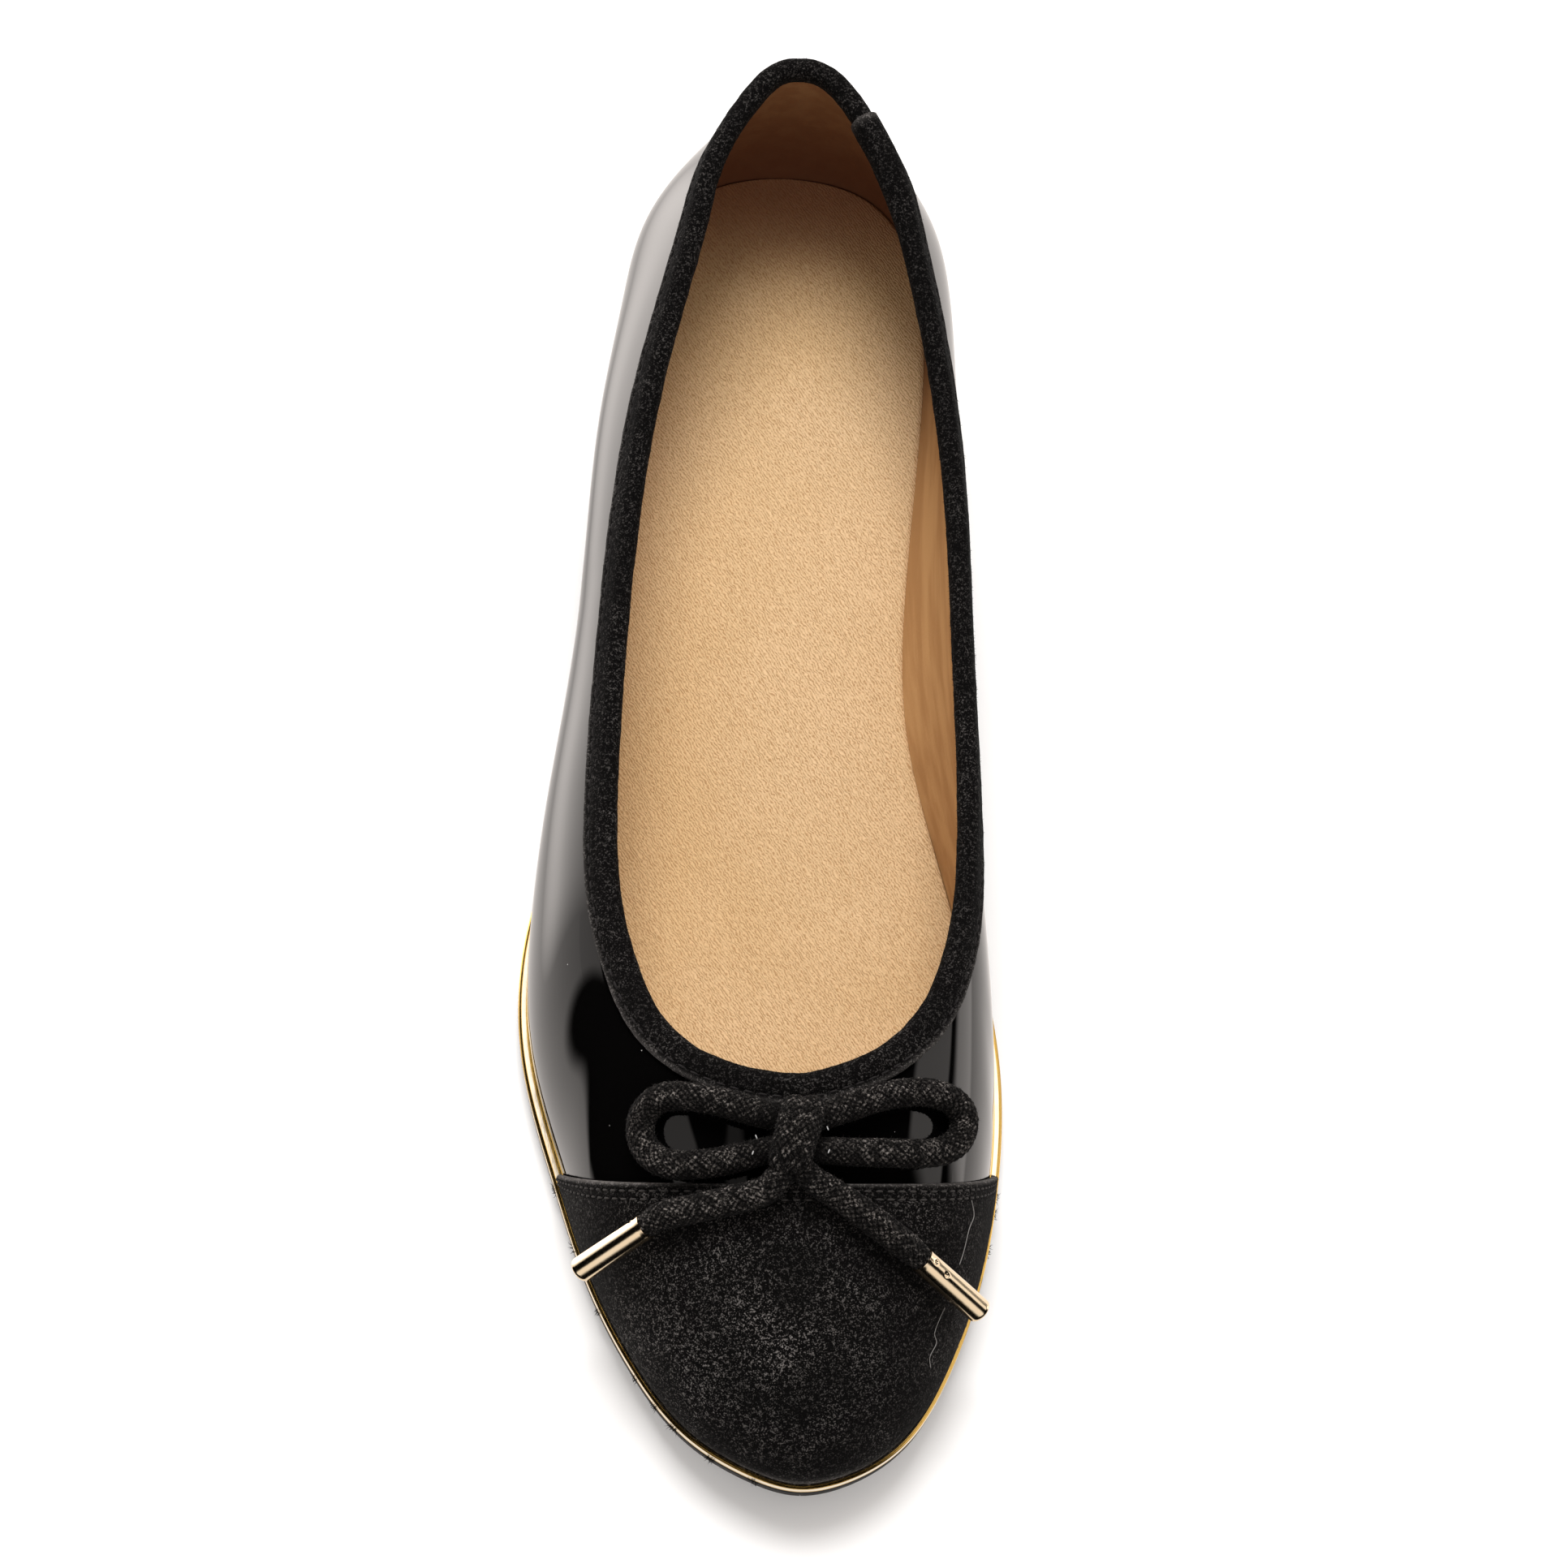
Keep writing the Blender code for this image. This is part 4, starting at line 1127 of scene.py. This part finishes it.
def braided_tube(path, radii):
    """Rings of a braided cord along a path, and how pale each point is painted, 0 to 1: pale on crests as
    wear, with painted shade in the gaps between strands and painted light on crests that face up."""
    sides, ups = transported(path)
    run = np.concatenate([[0], np.cumsum(np.linalg.norm(np.diff(path, axis=0), axis=1))])
    angles = np.linspace(0, 2 * math.pi, CORD_AROUND, endpoint=False)
    relief = braid_relief(run, angles)
    uneven = rough(path, 160)[:, None] * 0.12 * MM
    size = radii[:, None] - BRAID_HIGH * (1 - relief) + uneven
    ring = circles(angles, sides, ups)
    points = path[:, None] + size[..., None] * ring
    loose = rough(points, 1500, 2.0)
    # Crests paler from wear; the gaps between strands darker as painted shade.
    crest = np.clip(relief * 1.7 - 0.75 + 0.6 * loose, 0, 1)
    # Painted light: crests that face up are paler.
    tone_mask = crest * np.clip(0.25 + 0.75 * ring[:, :, 2], 0.05, 1)
    return points + (loose * 0.09 * MM)[..., None] * ring, tone_mask


def tip_axis(end_points):
    """Where a metal tip starts, and its direction, from the cord's last stretch."""
    route = smooth_route(end_points, END_STEPS)
    direction = (route[-1] - route[-2]) / np.linalg.norm(route[-1] - route[-2])
    return route[-1] + direction * GAP, direction


def make_bow_cord(name, loop, crossing_at, end, replaced, finish):
    """From the knot round one loop, back through the knot and out to a tip."""
    mouth, direction = tip_axis(end)
    route = [KNOT_START, *loop, crossing_at, *end]
    path = smooth_route(route, 240)
    path = np.concatenate([path[:-1], [mouth, mouth + direction * TIP_REACH]])
    run = np.concatenate([[0], np.cumsum(np.linalg.norm(np.diff(path, axis=0), axis=1))])
    steps = int(run[-1] / CORD_STEP)
    at = np.linspace(0, run[-1], steps)
    path = np.stack([np.interp(at, run, path[:, k]) for k in range(3)], axis=1)
    for _ in range(6):
        path[1:-1] = (path[:-2] + 2 * path[1:-1] + path[2:]) / 4
    left = run[-1] - at
    bore = TIP_WIDE / 2 - TIP_WALL
    narrow = np.clip(1 - left / (6 * MM), 0, 1)
    radii = CORD_SOFT + narrow * (bore - CORD_SOFT)
    from_knot = np.linalg.norm(path - np.array(KNOT_AT) * MM, axis=1)
    squeeze_and_shade = np.exp(-((from_knot / KNOT_GRIP) ** 2))
    tube, tone_mask = braided_tube(path, radii - 0.35 * MM * squeeze_and_shade)
    # Painted shade: the cord's pale crests fade out close to the knot.
    tone_mask = tone_mask * (1 - np.clip(1.5 * squeeze_and_shade, 0, 0.9))[:, None]
    piece = strip_piece(name, tube, finish, "cotton_cord", replaced, 180, tone_mask)
    return piece, path


KNOT_TURNS = 1.95
KNOT_STEPS = 420
KNOT_ROUTE = (4.7 * MM, 2.7 * MM)  # half the wrap's length and height, at the cord's middle
KNOT_SHIFT = 2.1 * MM  # each way across, from the first turn to the last
KNOT_SLANT = 0.34
KNOT_GRIP = 6.5 * MM  # how far from the knot's middle the cord is pinched thinner and darkened as painted shade


def make_knot(finish):
    """The cord wrapped round the middle of the bow, about twice, side by side and slanting."""
    centre = np.array(KNOT_AT) * MM
    angles = 2 * math.pi * np.linspace(-0.325, KNOT_TURNS - 0.325, KNOT_STEPS)
    across = KNOT_SHIFT * np.sin(np.linspace(-0.5, 0.5, KNOT_STEPS) * math.pi)
    along = KNOT_ROUTE[0] * np.cos(angles)
    up = KNOT_ROUTE[1] * np.sin(angles)
    path = centre + np.column_stack([across + KNOT_SLANT * along, along, up])
    tube, tone_mask = braided_tube(path, np.full(KNOT_STEPS, CORD_SOFT - 0.15 * MM))
    return strip_piece("bow_knot_wrap", tube, finish, "cotton_cord", ("bow_knot",), 180, tone_mask)


Dent = namedtuple("Dent", "from_mouth turned")  # turned round the tip from its top
LATERAL_DENTS = [Dent(1.5 * MM, 1.05), Dent(4.6 * MM, 1.30)]
MEDIAL_DENTS = [Dent(1.5 * MM, -0.30), Dent(4.4 * MM, -0.05)]
DENT_DEEP = 0.34 * MM
DENT_LONG = 0.34 * MM
DENT_WIDE = 0.42 * MM


def make_tip(name, end, dents, replaced, finish):
    """Metal ferrule: a thin rolled cup with a flared mouth, a rounded end and two crimped dents."""
    mouth, direction = tip_axis(end)
    radius, bore = TIP_WIDE / 2, TIP_WIDE / 2 - TIP_WALL
    round_end = 0.9 * MM
    outside = [(bore, 0.0), (bore + 0.10 * MM, -0.02 * MM)]
    outside += [(radius + 0.08 * MM, 0.04 * MM), (radius + 0.06 * MM, 0.3 * MM)]
    outside += [(radius, a) for a in np.linspace(0.7 * MM, TIP_LONG - round_end, 60)]
    for a in np.linspace(0, math.pi / 2, 9)[1:]:
        outside.append((radius - round_end * (1 - math.cos(a)), TIP_LONG - round_end * (1 - math.sin(a))))
    outside += [(radius * 0.3, TIP_LONG - 0.02 * MM), (0.02 * MM, TIP_LONG)]
    inside = [(0.02 * MM, TIP_LONG - TIP_WALL), (bore, TIP_LONG - TIP_WALL), (bore, TIP_LONG / 2)]
    profile = np.array(outside + inside)
    up = np.array((0.0, 0.0, 1.0)) - direction * direction[2]
    up /= np.linalg.norm(up)
    side = np.cross(direction, up)
    angles = np.linspace(0, 2 * math.pi, 72, endpoint=False)
    size = np.repeat(profile[:, 0][:, None], len(angles), axis=1)
    shell = np.arange(len(profile)) < len(outside)
    for dent in dents:
        away = (angles - dent.turned + math.pi) % (2 * math.pi) - math.pi
        apart = (away[None, :] * radius / DENT_WIDE) ** 2
        apart = apart + ((profile[:, 1] - dent.from_mouth)[:, None] / DENT_LONG) ** 2
        size = size - DENT_DEEP * np.exp(-(apart**1.5)) * (shell & (profile[:, 0] > bore * 0.9))[:, None]
    ring = circles(angles, up[None], side[None])
    points = mouth + profile[:, 1][:, None, None] * direction + size[..., None] * ring
    faces = grid_faces(len(profile), len(angles), True, True)
    return add_piece(name, points, faces, finish, "tip_metal", replaced, sharp=60)


# Loose fibres: how many, length and thickness in millimetres, how far they lean, and the draw's seed
Fibre = namedtuple("Fibre", "count long wide lean seed")
BINDING_NAP = Fibre(7000, 0.50, 0.06, 0.9, 11)
CAP_NAP = Fibre(7000, 0.40, 0.05, 1.1, 12)
CORD_FUZZ = Fibre(3600, 0.75, 0.05, 1.2, 20)
TUFT = Fibre(200, 1.3, 0.13, 1.3, 31)


def hairs(name, roots, normals, fibre, finish, slot):
    """Loose fibres as thin bent three-sided hairs, at points picked from a surface."""
    count, lean = fibre.count, fibre.lean
    long, wide = fibre.long * MM, fibre.wide * MM
    rng = np.random.default_rng(fibre.seed)
    pick = rng.integers(0, len(roots), count)
    root, out = roots[pick], normals[pick]
    drift = rng.normal(size=(count, 3))
    drift -= out * np.sum(drift * out, axis=1)[:, None]
    drift /= np.linalg.norm(drift, axis=1)[:, None]
    root = root + drift * 0.2 * MM * rng.random((count, 1)) - out * 0.05 * MM
    length = long * (0.35 + 0.65 * rng.random((count, 1)))
    way = out + drift * lean * (0.5 + rng.random((count, 1)))
    way /= np.linalg.norm(way, axis=1)[:, None]
    bent = way + 0.8 * rng.normal(size=(count, 3))
    bent /= np.linalg.norm(bent, axis=1)[:, None]
    middle = root + way * length * 0.55
    tip = middle + bent * length * 0.45
    side = np.cross(way, drift)
    side /= np.linalg.norm(side, axis=1)[:, None]
    other = np.cross(way, side)
    angles = np.radians((0, 120, 240))
    around = [np.cos(a) * side + np.sin(a) * other for a in angles]
    base = [root + wide / 2 * a for a in around]
    waist = [middle + wide * 0.35 * a for a in around]
    points = np.stack([*base, *waist, tip], axis=1).reshape(-1, 3)
    faces = []
    for start in range(0, 7 * count, 7):
        faces.append((start, start + 2, start + 1))
        for k in range(3):
            n = (k + 1) % 3
            faces.append((start + k, start + n, start + 3 + n, start + 3 + k))
            faces.append((start + 3 + k, start + 3 + n, start + 6))
    return add_piece(name, points, faces, finish, slot, sharp=180)


def surface_of(piece, keep=None):
    """Vertex places and normals of a piece, or of those that keep picks."""
    mesh = piece.data
    places = np.array([v.co for v in mesh.vertices])
    normals = np.array([v.normal for v in mesh.vertices])
    if keep is None:
        return places, normals
    chosen = keep(places, normals)
    return places[chosen], normals[chosen]


# A loose pale thread that lies on the cap: x and y in millimetres, in two pieces
LINT = [
    [(31.2, -178.5), (31.7, -180.6), (30.8, -183.3), (30.0, -186.7), (29.2, -189.3)],
    [(26.7, -196.8), (25.9, -198.5), (25.0, -201.0), (25.4, -202.3), (24.3, -204.6), (24.5, -206.0)],
]
LINT_THICK = 0.14 * MM


def make_lint(cap):
    """Thin bent tubes that follow the cap's surface."""
    places, _ = surface_of(cap, lambda p, n: n[:, 2] > 0.2)
    points, faces = [], []
    angles = np.linspace(0, 2 * math.pi, 5, endpoint=False)
    for line in LINT:
        laid = []
        for x, y in line:
            near = np.argmin(np.hypot(places[:, 0] - x * MM, places[:, 1] - y * MM))
            laid.append((x, y, places[near, 2] / MM + 0.15))
        path = smooth_route(laid, 30)
        sides, ups = transported(path)
        faces += tube_faces(len(path), len(angles), len(points) * len(path) * len(angles))
        points.append((path[:, None] + LINT_THICK / 2 * circles(angles, sides, ups)).reshape(-1, 3))
    finish = thread("lint", (0.28, 0.27, 0.26))
    add_piece("cap_lint", np.concatenate(points), faces, finish, "cotton_cord")


# Clear tacking thread that shows beside the knot: x, y and z of each bit in millimetres
TACKS = [(-6.2, -174.6, 45.0), (-6.4, -177.4, 44.9), (5.6, -173.2, 46.0), (6.2, -177.0, 45.3)]


def make_tacks():
    lines = []
    for number, (x, y, z) in enumerate(TACKS):
        lean = 0.35 * (-1) ** number
        line = np.array([(x, y + 0.5, z), (x + lean, y - 0.5, z)]) * MM
        lines.append((line, np.array([(0.0, 0.0, 1.0)] * 2)))
    f = Finish("clear_thread", Roughness=0.12, Specular_IOR_Level=0.8)
    finish = f.done(f.mix(f.noise(3000), (0.25,) * 3, (0.6,) * 3))
    add_piece("tack_threads", *stitch_mesh(lines, TACK), finish, "cotton_cord")


# Shares of the shoe's length at which a tuft of suede fibre stands out over the sole's edge
LATERAL_TUFTS = (0.779, 0.822, 0.868, 0.917, 0.938, 0.954, 0.975, 0.992)
MEDIAL_TUFTS = (0.777, 0.790, 0.817)


def make_tufts(finish):
    """Small black tufts caught between the rand and the sole."""
    fine = np.linspace(0.0, 0.5, 2001)
    roots, normals = [], []
    for side, tufts in ((fine, LATERAL_TUFTS), (1 - fine, MEDIAL_TUFTS)):
        line = SOLE_LINE(side)
        away = outward(SOLE_LINE, side)
        share = (HEEL_CENTRE - line[:, 1]) / LENGTH
        for tuft in tufts:
            for i in np.argmin(np.abs(share - tuft)) + np.array((-5, -2, 0, 4)):
                roots.append(raised(line[i : i + 1] - 0.1 * MM * away[i], OUTSOLE_THICK)[0])
                normals.append((*away[i], 0.15))
    hairs("edge_tufts", np.array(roots), np.array(normals), TUFT, finish, "suede")


FLOOR_HALF = 4.0  # metres
FLOOR_GLOW = 0.12


def make_floor():
    """White paper, which the camera and soft light see; the sky stands for it in the shoe's gloss."""
    mesh = bpy.data.meshes.new("floor")
    corners = [(x * FLOOR_HALF, y * FLOOR_HALF, 0) for x, y in ((-1, -1), (1, -1), (1, 1), (-1, 1))]
    mesh.from_pydata(corners, [], [(0, 1, 2, 3)])
    f = Finish("floor_paper", Roughness=0.9, Specular_IOR_Level=0.0)
    f.feed(f.shader, "Emission Color", (1.0, 1.0, 1.0))
    f.feed(f.shader, "Emission Strength", FLOOR_GLOW)
    mesh.materials.append(f.done(f.mix(f.noise(30, 2.0), (0.80, 0.80, 0.80), (0.83, 0.83, 0.83))))
    floor = bpy.data.objects.new("floor", mesh)
    bpy.context.scene.collection.objects.link(floor)
    floor.visible_glossy = False


def make_camera():
    """At the photograph's angle. back points from the shoe to the camera."""
    flat = math.cos(CAMERA_ELEVATION)
    across, along = math.sin(CAMERA_AZIMUTH) * flat, -math.cos(CAMERA_AZIMUTH) * flat
    back = Vector((across, along, math.sin(CAMERA_ELEVATION)))
    camera = bpy.data.cameras.new("camera")
    camera.lens = CAMERA_LENS
    camera.sensor_width = 36.0
    seen = bpy.data.objects.new("camera", camera)
    bpy.context.scene.collection.objects.link(seen)
    forward = -back
    up = (Vector((0, 1, 0)) - forward * forward.y).normalized()
    right = forward.cross(up)
    turn = Matrix((right, up, back)).transposed().to_4x4()
    seen.matrix_world = Matrix.Translation(CAMERA_TARGET + back * CAMERA_DISTANCE) @ turn
    bpy.context.scene.camera = seen


# Bright parts of the studio round the shoe, as its gloss meets them, in degrees: left and right are turned
# from behind the heel, low and high are over the floor's level, and soft is the blur of each edge
Panel = namedtuple("Panel", "left right low high soft strength")
PANELS = [
    Panel(-80.0, 88.0, -120.0, -3.0, 1.2, 1.05),
    Panel(-200.0, 200.0, -120.0, -40.0, 4.0, 0.85),
    Panel(-66.0, -5.0, -44.0, 25.0, 14.0, 3.4),
    Panel(-80.0, -58.0, -6.0, 19.0, 1.2, 0.9),
    Panel(68.0, 86.0, -26.0, 3.0, 5.0, 2.0),
    Panel(40.0, 98.0, 13.0, 49.0, 2.0, 1.0),
    Panel(-112.0, -100.0, 52.0, 68.5, 0.8, 0.55),
    Panel(-127.0, -117.0, 74.0, 81.0, 1.0, 0.2),
    Panel(-38.0, 52.0, 44.0, 90.0, 5.0, 1.5),
]
FRONT_PANEL = Panel(132.0, 200.0, 4.0, 46.0, 7.0, 0.9)  # on both sides, behind the camera
SKY_TINT = (1.0, 0.935, 0.89)
DEGREES = 180 / math.pi


def make_sky():
    """White for the camera; for light and gloss, bright panels on black, a little warm."""
    world = bpy.data.worlds.new("studio")
    bpy.context.scene.world = world
    world.use_nodes = True
    sky = Nodes(world.node_tree)
    way = sky.node("ShaderNodeTexCoord", output="Generated")
    x, y, z = (sky.node("ShaderNodeSeparateXYZ", None, {"Vector": way}, name) for name in "XYZ")
    turned = x.maths("ARCTAN2", y) * DEGREES
    height = z.maths("ARCSINE") * DEGREES
    seen = sky.node("ShaderNodeLightPath", output="Is Camera Ray")
    bright = seen
    for panel in [*PANELS, FRONT_PANEL]:
        round_way = turned.maths("ABSOLUTE") if panel is FRONT_PANEL else turned
        shown = panel.strength
        for angle, low, high in ((round_way, panel.left, panel.right), (height, panel.low, panel.high)):
            shown = angle.span(low - panel.soft, low + panel.soft) * shown
            shown = angle.span(high + panel.soft, high - panel.soft) * shown
        bright = bright.maths("MAXIMUM", shown * (1 - seen))
    background = sky.tree.nodes["Background"]
    sky.feed(background, "Color", sky.mix(seen, SKY_TINT, (1.0, 1.0, 1.0)))
    sky.feed(background, "Strength", bright)


# Soft even light, unseen in gloss. Angles are in degrees, turned as the panels are.
Sun = namedtuple("Sun", "name turned height spread strength colour")
SUNS = [
    Sun("key", -8, 65, 28, 2.45, (1.0, 1.0, 1.0)),
    Sun("fill", 20, 84, 150, 1.4, (1.0, 0.955, 0.915)),
]


def make_sun(plan):
    light = bpy.data.lights.new(plan.name, "SUN")
    light.energy = plan.strength
    light.color = plan.colour
    light.angle = math.radians(plan.spread)
    sun = bpy.data.objects.new(plan.name, light)
    bpy.context.scene.collection.objects.link(sun)
    turned, height = math.radians(plan.turned), math.radians(plan.height)
    flat = math.cos(height)
    source = Vector((math.sin(turned) * flat, math.cos(turned) * flat, math.sin(height)))
    sun.rotation_mode = "QUATERNION"
    sun.rotation_quaternion = source.to_track_quat("Z", "Y")
    sun.visible_glossy = False


def make_studio():
    bpy.context.scene.view_settings.view_transform = "Standard"
    make_floor()
    make_sky()
    for sun in SUNS:
        make_sun(sun)


def make_bow():
    """Two cords that leave the knot, each with a loop on one side and a tip on the other."""
    cotton = cord_cotton()
    metal = tip_metal()
    lateral_tip = make_tip("lateral_cord_tip", LATERAL_END, LATERAL_DENTS, ("cord_tip_lateral",), metal)
    medial_tip = make_tip("medial_cord_tip", MEDIAL_END, MEDIAL_DENTS, ("cord_tip_medial",), metal)
    knot = make_knot(cotton)
    lateral = ("lateral_loop_cord", LATERAL_LOOP, LATERAL_CROSSING, MEDIAL_END)
    medial = ("medial_loop_cord", MEDIAL_LOOP, MEDIAL_CROSSING, LATERAL_END)
    plans = (
        (*lateral, ("bow_loop_lateral", "bow_end_medial"), [medial_tip, knot]),
        (*medial, ("bow_loop_medial", "bow_end_lateral"), [lateral_tip]),
    )
    cords = []
    for name, loop, crossing_at, end, replaced, pieces in plans:
        piece, path = make_bow_cord(name, loop, crossing_at, end, replaced, cotton)
        cords.append(piece)
    return [*cords, knot]


NAP_FROM = UPPER_BASE + 1.2 * MM  # lowest nap of the cap over the sole's underside


def add_fuzz(binding, cap, cords, suede_fibre, cotton_fibre):
    """Loose fibres on the suede and the cord, thickest along cut edges."""
    places, normals = surface_of(binding, lambda p, n: n[:, 2] > -0.3)
    hairs("binding_nap", places, normals, BINDING_NAP, suede_fibre, "suede")
    places, normals = surface_of(cap, lambda p, n: (n[:, 2] > -0.5) & (p[:, 2] > rise(p[:, 1]) + NAP_FROM))
    hairs("cap_nap", places, normals, CAP_NAP, suede_fibre, "suede")
    for number, piece in enumerate(cords):
        places, normals = surface_of(piece)
        fuzz = CORD_FUZZ._replace(seed=CORD_FUZZ.seed + number)
        hairs(piece.name + "_fuzz", places, normals, fuzz, cotton_fibre, "cotton_cord")


def main():
    make_camera()
    cords = make_bow()
    rubber = sole_rubber()
    make_outsole(rubber)
    make_heel(rubber)
    make_rand()
    make_insole()
    make_lining()
    make_patent_upper()
    cap = make_toe_cap(black_suede("cap_suede", 0.155, 0.19, CAP_MARKS))
    binding = make_binding(black_suede("binding_suede", 0.095, 0.27))
    make_binding_stitches(thread("binding_thread", (0.022, 0.020, 0.020)))
    make_cap_stitches(thread("cap_thread", (0.048, 0.044, 0.042)))
    suede_fibre = thread("suede_fibre", (0.018, 0.017, 0.016))
    add_fuzz(binding, cap, cords, suede_fibre, thread("cotton_fibre", (0.035, 0.032, 0.030)))
    make_tufts(suede_fibre)
    make_lint(cap)
    make_tacks()
    make_studio()


main()
